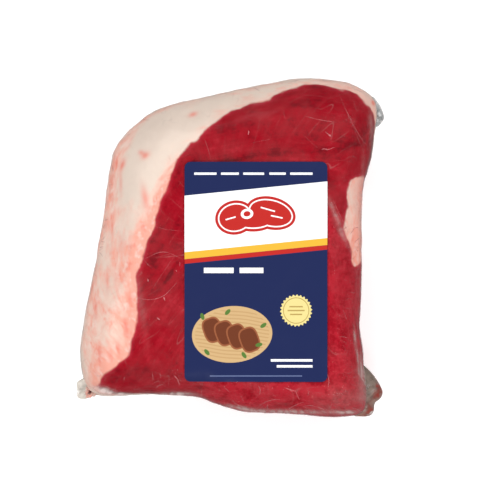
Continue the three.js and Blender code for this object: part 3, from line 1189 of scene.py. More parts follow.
@dataclass(frozen=True)
class LabelPrint:
    """A generic print of plain fields and shapes, without lettering."""

    name: str
    middle: Point
    navy: Colour = linear(32, 41, 82)
    white: Colour = linear(250, 250, 250)
    yellow: Colour = linear(226, 176, 60)
    red: Colour = linear(184, 44, 40)
    tan: Colour = linear(201, 168, 121)
    board: Colour = linear(176, 136, 90)
    brown: Colour = linear(108, 57, 37)
    crust: Colour = linear(148, 88, 58)
    leaf: Colour = linear(86, 120, 56)
    gold: Colour = linear(224, 209, 139)
    dark_gold: Colour = linear(176, 148, 84)
    slate: Colour = linear(96, 108, 146)

    def steak(self, ink: Ink, inset: float) -> Num:
        """The outline of a plain steak, drawn in by a distance.

        Args:
            ink: What draws on the label.
            inset: The distance.

        Returns:
            1 inside and 0 outside.
        """
        ovals = (
            ((-14.0, 36.5), (13.5, 11.5), 12.0),
            ((10.0, 39.5), (17.0, 11.0), -14.0),
            ((-2.0, 36.0), (16.0, 9.0), 0.0),
        )
        shape: Num | None = None
        for middle, half, turn in ovals:
            smaller = (half[0] - inset, half[1] - inset)
            part = ink.oval(middle, smaller, turn)
            shape = part if shape is None else shape.most(part)
        return shape

    def draw_band(self, ink: Ink, colour: Any) -> Any:
        """The slanted band, its two stripes and the steak on it.

        Args:
            ink: What draws on the label.
            colour: What has been drawn so far.

        Returns:
            The colour with this on it.
        """
        mix = ink.graph.mix
        across = ink.v - (ink.u * 0.1 + 37)
        red = ink.inside(abs(across + 25.3), 1.5)
        colour = mix(colour, self.red, red)
        colour = mix(colour, self.yellow, ink.inside(abs(across + 21.3), 2.4))
        colour = mix(colour, self.white, ink.inside(abs(across), 19))
        colour = mix(colour, self.red, self.steak(ink, 0))
        colour = mix(colour, self.white, self.steak(ink, 1.9))
        colour = mix(colour, self.red, self.steak(ink, 2.8))
        colour = mix(colour, self.white, ink.oval((-6, 39), (4.2, 3.4), 10))
        colour = mix(colour, self.red, ink.oval((-6, 39), (2.4, 1.8), 10))
        streaks = (((8, 42), 10, -16), ((14, 37), 8, -12), ((-17, 36), 7, 16))
        for at, length, turn in streaks:
            colour = mix(colour, self.white, ink.bar(at, (length, 0.9), turn))
        return colour

    def draw_board(self, ink: Ink, colour: Any) -> Any:
        """A wooden board with sliced meat and a few leaves.

        Args:
            ink: What draws on the label.
            colour: What has been drawn so far.

        Returns:
            The colour with this on it.
        """
        mix = ink.graph.mix
        middle = (-16.0, -42.0)
        colour = mix(colour, self.tan, ink.oval(middle, (27.0, 19.0), 4))
        grain = ((ink.v + ink.u * 0.12) * 2.6 + (ink.u * 0.21).sine()).sine()
        stripes = grain.rise(0.1, 0.9) * ink.oval(middle, (25.0, 17.2), 4)
        colour = mix(colour, self.board, stripes * 0.55)
        for step in range(4):
            at = (-29.0 + step * 8.2, -39.0 - step * 2.2)
            colour = mix(colour, self.crust, ink.oval(at, (6.6, 8.6), 20, 3.0))
            colour = mix(colour, self.brown, ink.oval(at, (5.6, 7.5), 20, 3.0))
        for at in ((-36, -30), (-33, -54), (-8, -56), (5, -36), (2, -49), (-19, -27)):
            colour = mix(colour, self.leaf, ink.oval(at, (2.4, 1.3), at[0] * 7))
        return colour

    def draw_seal(self, ink: Ink, colour: Any) -> Any:
        """A gold seal.

        Args:
            ink: What draws on the label.
            colour: What has been drawn so far.

        Returns:
            The colour with this on it.
        """
        mix = ink.graph.mix
        middle = (27.0, -26.0)
        colour = mix(colour, self.gold, ink.scalloped(middle, 10.3, 0.5, 26))
        for radius, ring in ((8.8, self.dark_gold), (8.3, self.gold)):
            colour = mix(colour, ring, ink.oval(middle, (radius, radius)))
        for row, width in ((2.6, 9.0), (0.0, 11.5), (-2.6, 8.0)):
            at = (middle[0], middle[1] + row)
            colour = mix(colour, self.dark_gold, ink.bar(at, (width, 0.9)))
        return colour

    def draw_bars(self, ink: Ink, colour: Any) -> Any:
        """Rows of plain bars.

        Args:
            ink: What draws on the label.
            colour: What has been drawn so far.

        Returns:
            The colour with this on it.
        """
        mix = ink.graph.mix
        for at, width in ((-34, 15), (-17.5, 12), (-1.5, 14), (14.5, 11), (30.5, 15)):
            colour = mix(colour, self.white, ink.bar((at, 66.0), (width, 1.5)))
        colour = mix(colour, self.white, ink.bar((-25.0, 1.0), (20.0, 3.6)))
        colour = mix(colour, self.white, ink.bar((-3.0, 1.0), (16.0, 3.6)))
        colour = mix(colour, self.white, ink.bar((24.0, -59.5), (28.0, 1.6)))
        colour = mix(colour, self.white, ink.bar((26.0, -63.5), (24.0, 1.6)))
        return mix(colour, self.slate, ink.bar((0.0, -70.0), (62.0, 0.8)))

    def build(self) -> bpy.types.Material:
        """Makes the material.

        Returns:
            The material.
        """
        graph = Graph.of_material(self.name)
        ink = Ink(graph, self.middle)
        colour = graph.mix(self.navy, self.navy, 0.0)
        for draw in (self.draw_band, self.draw_board, self.draw_seal, self.draw_bars):
            colour = draw(ink, colour)
        ripple = graph.noise(graph.place(), 0.02, detail=3, shift=3.3)
        inputs = {
            "Base Color": colour,
            "Roughness": 0.34,
            "Specular IOR Level": 0.12,
            "Normal": graph.bump(ripple, 0.5),
        }
        return graph.finish(graph.node("BsdfPrincipled", inputs=inputs).outputs[0])


def dress(
    thing: bpy.types.Object,
    material: bpy.types.Material,
    nodes: Sequence[str] = (),
) -> None:
    """Gives a piece its material and body, and reports it.

    Args:
        thing: The piece.
        material: Its material.
        nodes: The CAD nodes that it stands for.
    """
    thing.data.materials.clear()
    thing.data.materials.append(material)
    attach(thing, BODY)
    if nodes:
        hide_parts(*nodes)
    log.info("%s: %d faces", thing.name, len(thing.data.polygons))


@dataclass(frozen=True)
class Lumps:
    """The small bulges of the surface, which meat, film and label share."""

    layers: Sequence[Point] = ((15.0, 0.6), (6.5, 0.3), (2.6, 0.12))

    def rise(self, points: Array, count: int = 3) -> Array:
        """How far the surface rises by the first few layers of bulges.

        Args:
            points: One row of x, y and z for each point.
            count: How many layers to add, from the widest.

        Returns:
            A height for each point.
        """
        foot = smoothstep(points[:, 2], 2, 14)
        layers = enumerate(self.layers[:count])
        return foot * sum(
            height * noise_at(points, size, seed=31.7 * k)
            for k, (size, height) in layers
        )


@dataclass
class Contents:
    """The lean and the fat, cut from one block so that they meet without a gap."""

    form: WrappedForm
    cap: FatBoundary
    strip: FatBoundary
    lumps: Lumps
    cells: int = 236
    crease_angle: float = 38.0
    # Painted shade: soft marks that darken the lean along its seams and grooves, and a few
    # small darker spots.
    shaded_hollows: Sequence[Oval] = (
        Oval((-4, 57), (15, 1.8), 12, 0.6),
        Oval((20, 62.5), (17, 1.6), 6, 0.6),
        Oval((46, 63.5), (17, 1.6), 5, 0.6),
        Oval((80, 68), (12, 2.6), 8, 0.7),
        Oval((98, 72), (4, 18), 0, 0.9),
        Oval((69, 43), (4, 7), 0, 0.8),
        Oval((76, 21), (2.5, 10), 0, 0.8),
        Oval((72, 14), (3, 4), 0, 0.7),
        Oval((69, -49), (3, 3), 0, 0.8),
        Oval((78, -56), (4, 4), 0, 0.7),
        Oval((73, -96), (2, 2), 0, 0.9),
        Oval((77, -89), (2.5, 2.5), 0, 0.9),
        Oval((13.6, -99), (2.4, 5.5), -30, 1.3),
        Oval((56, -91.8), (11, 1.3), 1, 1.2),
        Oval((64.5, -97.5), (1.6, 4.5), -25, 0.9),
        Oval((58.5, -103), (3.5, 1.5), 40, 0.9),
        Oval((38, -105), (7, 1.5), 20, 1.1),
        Oval((40.5, -98.8), (5, 1.1), 30, 0.8),
        Oval((28, -94), (3, 1.6), 0, 0.5),
        Oval((-34.5, 0.5), (4.6, 3.6), 0, 1.0),
        Oval((-39.4, -16.5), (10, 1.5), 61, 1.2),
        Oval((-46, -22), (7, 1), 61, 0.3),
        Oval((-51, -13), (4, 4), 0, 0.6),
        Oval((-53, -84), (6, 3), 0, 0.6),
        Oval((-19, -93.5), (4.5, 2.6), 0, 1.0),
        Oval((-4, -93), (2, 1.6), 0, 0.7),
    )
    stains: Sequence[Oval] = (
        Oval((-57, 62), (3, 2), 30, 0.9),
        Oval((-73, 56), (1.6, 4), -20, 0.9),
        Oval((-60, 64), (2, 1.4), 0, 0.7),
        Oval((-25, 90), (3, 1.6), 20, 0.8),
        Oval((97.6, 98.6), (1.3, 1.8), 0, 1.2),
        Oval((-74, 43), (1.2, 7), 0, 0.5),
        Oval((-57, 33), (2.4, 8), 10, 0.7),
        Oval((-80, 14), (1.2, 8), 0, 0.5),
        Oval((-83, -23), (1.4, 8), 0, 0.5),
        Oval((-91, -42), (1.5, 7), 0, 0.5),
        Oval((-70, -53), (1.5, 6), 10, 0.9),
        Oval((-67, -35), (2, 5), 0, 0.6),
        Oval((-75, -68), (1.6, 6), 0, 0.6),
        Oval((-80, -73), (1.4, 5), 10, 0.6),
        Oval((-88, -71), (1.4, 6), 0, 0.6),
        Oval((-73, 2), (2.4, 7), 0, 0.3),
        Oval((91, 102), (13, 6), -42, 0.24),
        Oval((70, 112), (13, 4), -12, 0.14),
        Oval((91, 4), (7, 22), 0, 0.45),
        Oval((95, 40), (10, 18), 0, 0.9),
    )

    def inside_lean(self, points: Array) -> Array:
        """How far each point is inside the lean; it is negative in the fat."""
        return np.minimum(self.cap.distance(points), self.strip.distance(points))

    def block(self) -> bpy.types.Object:
        """The whole block of lean and fat as one closed mesh.

        Returns:
            The block, as a Blender object.
        """
        surface = self.form.skin(self.cells, seams=1)
        rise = self.lumps.rise(surface.points)
        surface.points = surface.points + surface.normals() * rise[:, None]
        return surface.to_object("block")

    @staticmethod
    def cut(
        block: bpy.types.Object, name: str, steps: Sequence[tuple[str, Any]]
    ) -> bpy.types.Object:
        """Cuts one piece out of the block.

        Args:
            block: The whole block.
            name: The piece's name.
            steps: Each Boolean operation with its cutter.

        Returns:
            The piece.
        """
        piece = bpy.data.objects.new(name, block.data)
        bpy.context.collection.objects.link(piece)
        for operation, cutter in steps:
            modifier = piece.modifiers.new("cut", "BOOLEAN")
            modifier.operation = operation
            modifier.solver = "MANIFOLD"
            modifier.object = cutter
        evaluated = piece.evaluated_get(bpy.context.evaluated_depsgraph_get())
        mesh = bpy.data.meshes.new_from_object(evaluated)
        piece.modifiers.clear()
        piece.data = mesh
        mesh.name = name
        return piece

    def lean_grain(self, points: Array) -> Array:
        """Coordinates along and across the fibres of each muscle.

        Args:
            points: One row of x, y and z for each point.

        Returns:
            One row of three coordinates for each point.
        """
        x, y, z = points.T
        lean = math.radians(56)
        arched = y + 0.0025 * (x - 40) ** 2
        along = x * math.cos(lean) + y * math.sin(lean)
        across = y * math.cos(lean) - x * math.sin(lean)
        upper = np.stack([x, arched, z], axis=1)
        left = np.stack([along, across, z], axis=1)
        ends = np.stack([x * 7, y, z], axis=1)
        grain = np.where((x < -20)[:, None], left, ends)
        return np.where((y > 46 - 0.06 * (x - 60))[:, None], upper, grain)

    def fat_grain(self, points: Array) -> Array:
        """Coordinates along and across the outline.

        Args:
            points: One row of x, y and z for each point.

        Returns:
            One row of three coordinates for each point.
        """
        x, y = points[:, 0] - self.form.middle[0], points[:, 1] - self.form.middle[1]
        turn = np.arctan2(-y, -x)
        along = turn * self.form.girth
        return np.stack([along, np.hypot(x, y), points[:, 2]], axis=1)

    def paint(self, piece: bpy.types.Object, fat: bool) -> None:
        """Keeps on a piece's vertices what the finish reads.

        Args:
            piece: The piece.
            fat: Whether the piece is fat.
        """
        points = points_of(piece)
        x, y, z = points.T
        inside = self.inside_lean(points)
        middle = self.form.middle
        angle = np.arctan2(y - middle[1], x - middle[0])
        edge = self.form.radius(angle) - np.hypot(x - middle[0], y - middle[1])
        right = smoothstep(x, 58, 70) * (1 - smoothstep(y, 16, 34))
        # Along the bottom edge the lean is brightened as a painted sheen of the film where it
        # slopes down.
        lower = 1 - smoothstep(y, -94, -87)
        down_left = smoothstep(-x, 18, 40) * (1 - smoothstep(y, 40, 70))
        near = np.exp(-((inside / 7) ** 2)) * (0.25 + 0.5 * down_left)
        rim = np.exp(-((edge / 9) ** 2)) * smoothstep(-x, 52, 72) * smoothstep(y, 8, 36)
        low = smoothstep(-y, -50, 0) * 0.34 - smoothstep(-y, 40, 90) * 0.06
        strip = smoothstep(x, 60, 70) * (1 - smoothstep(y, 48, 56))
        drifts = 0.75 + 0.5 * noise_at(points, 24, seed=3.0)
        low = low * smoothstep(-x, 35, 50) * drifts * (0.45 + 0.55 * smoothstep(z, 5, 45))
        blush = (near + rim * drifts * 0.8 + low * 1.6) * (1 - strip)
        blush = blush + 0.3 * np.exp(-((edge / 4) ** 2)) * smoothstep(y, 60, 90)
        blush = blush + strip * (0.3 + 0.55 * smoothstep(-y, -30, 10))
        store(piece, "inside_lean", inside)
        # Cut ends at the right, and a painted film sheen along the bottom.
        lower = lower * smoothstep(x, -30, -10) * 1.5
        store(piece, "cut_end_and_sheen", np.maximum(right, lower))
        # Painted shade in the seams and grooves of the lean.
        store(piece, "hollow_shade", marked(points, self.shaded_hollows))
        store(piece, "stain", marked(points, self.stains))
        store(piece, "blush", np.clip(blush, 0, 1.2))
        store(piece, "grain", self.fat_grain(points) if fat else self.lean_grain(points))
        piece.data.shade_smooth()
        piece.data.set_sharp_from_angle(angle=math.radians(self.crease_angle))

    def build(self) -> None:
        """Makes the three pieces of lean and fat."""
        block = self.block()
        cap = self.cap.cutter("cap_cutter")
        strip = self.strip.cutter("strip_cutter")
        lean = self.cut(block, "beef_lean", [("DIFFERENCE", cap), ("DIFFERENCE", strip)])
        cap_fat = self.cut(block, "beef_fat_cap", [("INTERSECT", cap)])
        strip_fat = self.cut(block, "beef_side_fat", [("INTERSECT", strip)])
        for thing in (block, cap, strip):
            bpy.data.objects.remove(thing)
        self.paint(lean, fat=False)
        self.paint(cap_fat, fat=True)
        self.paint(strip_fat, fat=True)
        fat_material = MeatFinish("fat").build()
        dress(lean, MeatFinish("lean").build(), ["lean_meat"])
        dress(cap_fat, fat_material, ["fat_cap"])
        dress(strip_fat, fat_material, ["side_fat"])


@dataclass
class Film:
    """The clear film that clings to the whole joint, and its creases."""

    form: WrappedForm
    lumps: Lumps
    lift: float = 0.45
    cells: int = 200
    seed: int = 7
    random_creases: int = 90
    flank_creases: int = 80
    crease_share: float = 0.46
    crease_milk: Colour = linear(232, 138, 142)
    gathered: Point = (-2.4, 0.2)
    rim_reach: Point = (0.84, 0.97)
    rim_widths: Point = (0.35, 1.1)
    rim_lengths: Point = (2.5, 8)
    flank_reach: Point = (0.985, 0.999)
    flank_widths: Point = (0.5, 1.1)
    flank_drops: Point = (0.01, 0.05)
    # Milky patches of gathered film; along the right and bottom edges they also stand in for
    # the film's sheen there, a painted highlight.
    haze_and_sheen: Sequence[Oval] = (
        Oval((84.5, -61), (0.9, 7), 4, 0.36),
        Oval((86.6, -76), (0.8, 9), 4, 0.34),
        Oval((92, -92), (5.5, 14), 2, 0.42),
        Oval((89, -80), (0.7, 9), 3, 0.3),
        Oval((80, -112), (8, 1.4), -3, 0.5),
        Oval((40, -112), (32, 1.8), 0, 0.45),
        Oval((8, -109.5), (12, 1.6), -10, 0.45),
        Oval((73, -104), (14, 9), 0, 0.1),
        Oval((-86, -97.6), (6.6, 2.6), -16, 1.1),
        Oval((-74, -100), (7, 1.2), -4, 0.8),
        Oval((-58, -100.4), (14, 0.9), 0, 0.4),
        Oval((-36, -100), (9, 1.6), 0, 0.8),
        Oval((96, 78), (1.8, 16), 4, 0.22),
        Oval((71, 22), (1.4, 12), 24, 0.24),
        Oval((76, 8), (1.6, 8), 30, 0.2),
        Oval((90, 20), (1.6, 30), 0, 0.4),
        Oval((-60, -36), (2.4, 20), 8, 0.08),
    )
    # The short, wide ribs stand in for glints: their milky white is a painted highlight.
    creases: Sequence[tuple[float, Sequence[Point]]] = (
        (0.9, ((73, 105), (80, 88), (88, 74), (94, 68))),
        (0.6, ((80, 88), (85, 76), (92, 60))),
        (1.0, ((51, 88), (61, 85.5), (72, 84))),
        (1.5, ((61.5, 65.6), (63, 66.2), (66, 65.8), (70.5, 67.4))),
        (1.2, ((64, 78), (65.5, 76.4), (67, 75))),
        (0.6, ((49, 76), (54, 71), (59, 67))),
        (0.6, ((46, 102), (56, 102.5), (65, 101))),
        (0.7, ((36, 92), (36.4, 89), (37, 86))),
        (1.9, ((12.2, 75.6), (12.6, 77), (12.5, 78.6))),
        (1.9, ((66.4, 75.8), (67, 75.3), (67.9, 74.6))),
        (1.8, ((-55.4, -21), (-55, -22), (-54.9, -23.3))),
        (1.7, ((-44.6, -33), (-44, -34.4), (-43.6, -36))),
        (1.8, ((-49, -47), (-48, -48), (-46.9, -48.6))),
        (1.3, ((-33.7, -9.6), (-33.6, -11), (-34, -12.6))),
        (1.3, ((-36.4, -15), (-36, -15.7), (-35.6, -16.4))),
        (0.5, ((-36.4, 9.2), (-39, 5.5), (-41, 1.9))),
        (0.6, ((29, 73), (21, 71.5), (14, 70))),
        (0.6, ((68, 58), (76, 58.5), (84, 57))),
        (0.9, ((69, 33), (74, 22), (80, 10))),
        (0.9, ((-58, -8), (-45, -3), (-31, -8))),
        (0.8, ((-58, -8), (-55, -11.5), (-52, -14))),
        (1.1, ((-62, -34), (-53, -35), (-44, -32), (-35, -23))),
        (1.4, ((-38, -86), (-35.5, -88.5), (-34, -93))),
        (1.3, ((18.9, -92.8), (20.4, -95.6), (20, -99.4))),
        (1.5, ((35.8, -94), (41.5, -95.9), (44.3, -96.8))),
        (1.5, ((44, -95.8), (45.2, -99.6), (47, -102.4))),
        (1.2, ((17.6, -109.2), (25, -104), (31.6, -102.4), (35, -103))),
        (1.3, ((1.2, -103.4), (5.4, -107), (12, -108.6))),
        (1.3, ((38.9, -110.6), (42, -108), (46, -105.8), (50, -104))),
        (1.2, ((49, -107.8), (54.2, -106.8), (61, -108.6), (65, -110.6))),
        (0.8, ((51, -94.8), (56, -94), (61, -93.6))),
        (1.2, ((80, -109.5), (82, -111.4), (84.6, -112.8))),
        (1.2, ((82, -107.6), (85.4, -109.6), (88.6, -111.6))),
        (1.0, ((67, -109), (71, -110.4), (74, -112.6))),
        (1.0, ((68.8, -103.6), (68.2, -106.6), (67, -109))),
        (1.1, ((65, -84), (66.5, -89), (66, -94))),
        (1.0, ((70, -106), (71, -107), (72, -108))),
        (0.7, ((-50, 14), (-42, 12), (-31, 11))),
        (0.7, ((-37.5, -6), (-45, -17), (-52, -28))),
        (0.9, ((-86, -93), (-79, -96.5), (-73, -98))),
        (0.8, ((-39, -98), (-33, -98.6), (-27, -98))),
    )

    def on_film(self, x: Array, y: Array, over: float) -> Array:
        """Points on the film over places of the table.

        Args:
            x: Places across.
            y: Places up the label.
            over: How far over the film.

        Returns:
            One row of x, y and z for each place.
        """
        points = np.stack([x, y, self.form.height_at(x, y)], axis=1)
        points[:, 2] += self.lift + over + self.lumps.rise(points)
        return points

    def flow(self, points: Array) -> Array:
        """Coordinates along and across the film's fine wrinkles.

        Args:
            points: One row of x, y and z for each point.

        Returns:
            One row of three coordinates for each point.
        """
        x, y = points[:, 0] - self.form.middle[0], points[:, 1] - self.form.middle[1]
        turn = np.arctan2(-y, -x)
        across = turn * self.form.girth
        return np.stack([np.hypot(x, y), across, points[:, 2]], axis=1)

    def skin(self) -> bpy.types.Object:
        """The film itself.

        Returns:
            The film, as a Blender object.
        """
        surface = self.form.skin(self.cells, seams=0)
        rise = self.lumps.rise(surface.points)
        foot = smoothstep(surface.points[:, 2], -0.2, 3)
        rise = rise + self.lift * foot
        surface.points = surface.points + surface.normals() * rise[:, None]
        thing = surface.to_object("film_skin")
        store(thing, "flow", self.flow(surface.points))
        level = smoothstep(surface.points[:, 2], 6, 32)
        # Milky film, with a painted sheen along the right and bottom edges.
        store(thing, "haze", marked(surface.points, self.haze_and_sheen) * level)
        store(thing, "juice_and_glint", np.zeros(len(surface.points)))
        return thing

    def rib(self, line: Sequence[Point], width: float) -> Surface:
        """One crease: a low ridge that tapers to nothing at both ends.

        Args:
            line: The points that it follows.
            width: Its width at the middle.

        Returns:
            The mesh of the ridge.
        """
        length = sum(math.dist(a, b) for a, b in zip(line[:-1], line[1:]))
        steps = max(8, int(length / 0.9))
        path = curve_through(line, steps, closed=False)
        across = np.gradient(path, axis=0)
        across = np.stack([-across[:, 1], across[:, 0]], axis=1)
        across /= np.linalg.norm(across, axis=1, keepdims=True)
        place = np.linspace(0, 1, steps + 1)
        wobble = noise_at(np.column_stack([path, place * 0]), 5, seed=4.4)
        taper = np.sin(math.pi * place) ** 0.6 * (1 + 0.6 * wobble)
        half = self.crease_share * width / 2 * taper + 0.02
        sections = 7
        points = []
        for k in range(sections):
            turn = math.pi * k / (sections - 1)
            spot = path + across * (half * math.cos(turn))[:, None]
            raised = self.on_film(spot[:, 0], spot[:, 1], -0.08)
            raised[:, 2] += half * 0.75 * math.sin(turn)
            points.append(raised)
        rows = len(path)
        faces = [
            (k * rows + i, k * rows + i + 1, (k + 1) * rows + i + 1, (k + 1) * rows + i)
            for k in range(sections - 1)
            for i in range(rows - 1)
        ]
        return Surface(np.vstack(points), [face[::-1] for face in faces])

    def random_lines(self) -> list[tuple[float, list[Point]]]:
        """Small creases along the rim and in the loose film at the bottom.

        Returns:
            The width and the points of each crease.
        """
        draw = random.Random(self.seed)
        middle = self.form.middle
        lines = []
        for _ in range(self.random_creases):
            angle = draw.uniform(*self.gathered)
            radius = float(self.form.radius(np.array(angle)))
            reach = draw.uniform(*self.rim_reach)
            length = draw.uniform(*self.rim_lengths)
            lean = draw.uniform(-0.9, 0.9)
            x = middle[0] + reach * radius * math.cos(angle)
            y = middle[1] + reach * radius * math.sin(angle)
            dx = math.cos(angle + lean) * length / 2
            dy = math.sin(angle + lean) * length / 2
            bend = draw.uniform(-0.8, 0.8)
            line = [(x - dx, y - dy), (x - bend * 0.5, y + bend), (x + dx, y + dy)]
            lines.append((draw.uniform(*self.rim_widths), line))
        for _ in range(self.flank_creases):
            angle = draw.uniform(-math.pi, math.pi)
            radius = float(self.form.radius(np.array(angle)))
            lean = draw.uniform(-0.05, 0.05)
            low = draw.uniform(*self.flank_reach)
            high = low - draw.uniform(*self.flank_drops)
            line = [
                (
                    middle[0] + reach * radius * math.cos(angle + turn),
                    middle[1] + reach * radius * math.sin(angle + turn),
                )
                for reach, turn in ((low, 0.0), ((low + high) / 2, lean * 0.3), (high, lean))
            ]
            lines.append((draw.uniform(*self.flank_widths), line))
        return lines

    def build(self) -> None:
        """Makes the film and its creases."""
        dress(self.skin(), FilmFinish("bag_film").build())
        lines = [*self.creases, *self.random_lines()]
        ribs = [self.rib(line, width) for width, line in lines]
        # Wider ribs are whiter: partly the film's own milk, and on the short wide ribs a
        # painted highlight.
        haze_and_sheen = [
            np.full(len(rib.points), min(0.9, 0.1 + 0.4 * max(width - 0.4, 0)))
            for rib, (width, _) in zip(ribs, lines)
        ]
        surface = joined(ribs)
        thing = surface.to_object("film_creases")
        store(thing, "flow", self.flow(surface.points))
        store(thing, "haze", np.concatenate(haze_and_sheen))
        store(thing, "juice_and_glint", np.zeros(len(surface.points)))
        finish = FilmFinish(
            "crease_film",
            milk=self.crease_milk,
            bend=1.2,
            shine=0.3,
            relief=0.15,
            threads=0.0,
        )
        dress(thing, finish.build())


@dataclass
class BagCorner:
    """A loose corner of the bag: thin leaves of film, one over the other."""

    name: str
    node: str
    root: Sequence[Point]
    edge: Sequence[Point]
    thick: float
    depth: float
    drop: float
    haze: float
    finish: FilmFinish
    ridges: Sequence[Seam] = ()
    # Spots of meat liquid, and on one corner a painted highlight.
    juice_and_glint_spots: Sequence[Oval] = ()
    holes: Sequence[tuple[float, Point]] = ()
    pleats: float = 1.5
    bulge: float = 0.0
    strands: Sequence[tuple[float, Sequence[Point]]] = ()
    rim_height: float = 31.0
    columns: int = 36
    rows: int = 48
    leaves: int = 3
    leaf_half: float = 0.16
    strand_lift: float = 3.0
    folds: int = 3
    girth: float = 130.0

    def middle_of_leaf(self, leaf: int) -> Array:
        """Points of one leaf's middle plane, by place out and place along.

        Args:
            leaf: Which leaf, from the top.

        Returns:
            An array of rows out, points along and x, y and z.
        """
        along = np.linspace(0, 1, self.rows + 1)
        out = np.linspace(0, 1, self.columns + 1)[:, None]
        edge = curve_through(self.edge, self.rows, closed=False)
        start, end = (np.array(point) for point in self.root)
        root = start + np.outer(along, end - start)
        reach = (1 - 0.09 * leaf) * out
        flat = root[None] + reach[:, :, None] * (edge - root)[None]
        places = np.dstack([flat, np.full(flat.shape[:2], leaf * 9.0)])
        wander = noise_at(places.reshape(-1, 3), 8).reshape(flat.shape[:2])
        ends = np.sin(math.pi * along)[None] ** 0.5
        turn = 2 * math.pi * (self.pleats * along[None] + 0.37 * leaf)
        fold = 2 * math.pi * self.folds * along[None] + 9 * wander + leaf
        lift = self.depth * np.sin(turn) * out + 0.08 * np.sin(fold) * out**0.6
        lift = lift + 0.8 * wander * out - self.drop * out**2
        for ridge in self.ridges:
            lift = lift - ridge.depth * ridge.at(flat[..., 0], flat[..., 1])
        lift = lift + self.bulge * np.sin(math.pi * out) ** 0.7
        spread = (self.thick / 2) * (1 - leaf) * (1 - 0.75 * out)
        height = self.rim_height + ends * (lift + spread)
        return np.dstack([flat, height])

    def leaf(self, leaf: int) -> Surface:
        """The closed mesh of one leaf.

        Args:
            leaf: Which leaf, from the top.

        Returns:
            The mesh of the leaf.
        """
        middle = self.middle_of_leaf(leaf)
        count = self.rows + 1
        total = count * (self.columns + 1)
        layers = [
            (middle + (0, 0, side * self.leaf_half)).reshape(-1, 3) for side in (1, -1)
        ]
        faces = []
        for i in range(self.columns):
            for j in range(self.rows):
                a = i * count + j
                face = (a, a + count, a + count + 1, a + 1)
                faces.append(face)
                faces.append(tuple(corner + total for corner in face[::-1]))
        rim = [j for j in range(self.rows)]
        rim += [i * count + self.rows for i in range(self.columns)]
        rim += [self.columns * count + j for j in range(self.rows, 0, -1)]
        rim += [i * count for i in range(self.columns, 0, -1)]
        for a, b in zip(rim, rim[1:] + rim[:1]):
            faces.append((a, b, b + total, a + total))
        return Surface(np.vstack(layers), faces)

    def strand(self, width: float, line: Sequence[Point]) -> Surface:
        """A twisted strand of film that lies on the corner.

        Args:
            width: Its width.
            line: The points that it follows.

        Returns:
            The mesh of the strand.
        """
        steps = 30
        sides = 12
        path = curve_through(line, steps, closed=False)
        across = np.gradient(path, axis=0)
        across = np.stack([-across[:, 1], across[:, 0]], axis=1)
        across /= np.linalg.norm(across, axis=1, keepdims=True)
        place = np.linspace(0, 1, steps + 1)
        size = width / 2 * (np.sin(math.pi * place) ** 0.5 + 0.04)
        points = []
        for k in range(sides):
            turn = 2 * math.pi * k / sides
            lobe = size * (1 + 0.3 * np.cos(2 * turn + 9 * place * math.pi))
            spot = path + across * (lobe * math.cos(turn))[:, None]
            level = self.rim_height + self.strand_lift + lobe * math.sin(turn)
            points.append(np.column_stack([spot, level]))
        rows = steps + 1
        faces = [
            (k * rows + i, (k + 1) % sides * rows + i, (k + 1) % sides * rows + i + 1,
             k * rows + i + 1)
            for k in range(sides)
            for i in range(steps)
        ]
        faces.append(tuple(k * rows for k in range(sides))[::-1])
        faces.append(tuple(k * rows + steps for k in range(sides)))
        return Surface(np.vstack(points), [face[::-1] for face in faces])

    def dark_holes(self) -> None:
        """Dark beads that stand in for the shade inside small holes of the gathered film:
        painted shade.
        """
        for number, (radius, (x, y)) in enumerate(self.holes):
            level = self.rim_height + self.strand_lift - 0.4
            bpy.ops.mesh.primitive_uv_sphere_add(
                segments=24,
                ring_count=12,
                radius=radius * MM,
                location=(x * MM, y * MM, level * MM),
            )
            thing = bpy.context.object
            thing.name = f"{self.name}_hole_{number}"
            thing.data.shade_smooth()
            # Dark red-brown: the painted shade of the hole.
            graph = Graph.of_material("hole_shade")
            inputs = {"Base Color": linear(92, 36, 34), "Roughness": 0.3}
            shader = graph.node("BsdfPrincipled", inputs=inputs)
            dress(thing, graph.finish(shader.outputs[0]))

    def build(self) -> None:
        """Makes the corner."""
        parts = [self.leaf(leaf) for leaf in range(self.leaves)]
        parts += [self.strand(width, line) for width, line in self.strands]
        self.dark_holes()
        surface = joined(parts)
        thing = surface.to_object(self.name)
        grown = noise_at(surface.points, 3.5, seed=5.0)
        juice_and_glint = marked(surface.points, self.juice_and_glint_spots) * (0.9 + 0.8 * grown)
        in_leaves = sum(len(part.points) for part in parts[: self.leaves])
        juice_and_glint[in_leaves:] = 1.0
        x, y, z = surface.points.T
        across = np.arctan2(y, x) * self.girth
        store(thing, "flow", np.stack([np.hypot(x, y), across, z], axis=1))
        store(thing, "haze", np.clip(self.haze * (1 + 0.7 * grown), 0, 1))
        store(thing, "juice_and_glint", np.clip(juice_and_glint, 0, 1))
        dress(thing, self.finish.build(), [self.node])


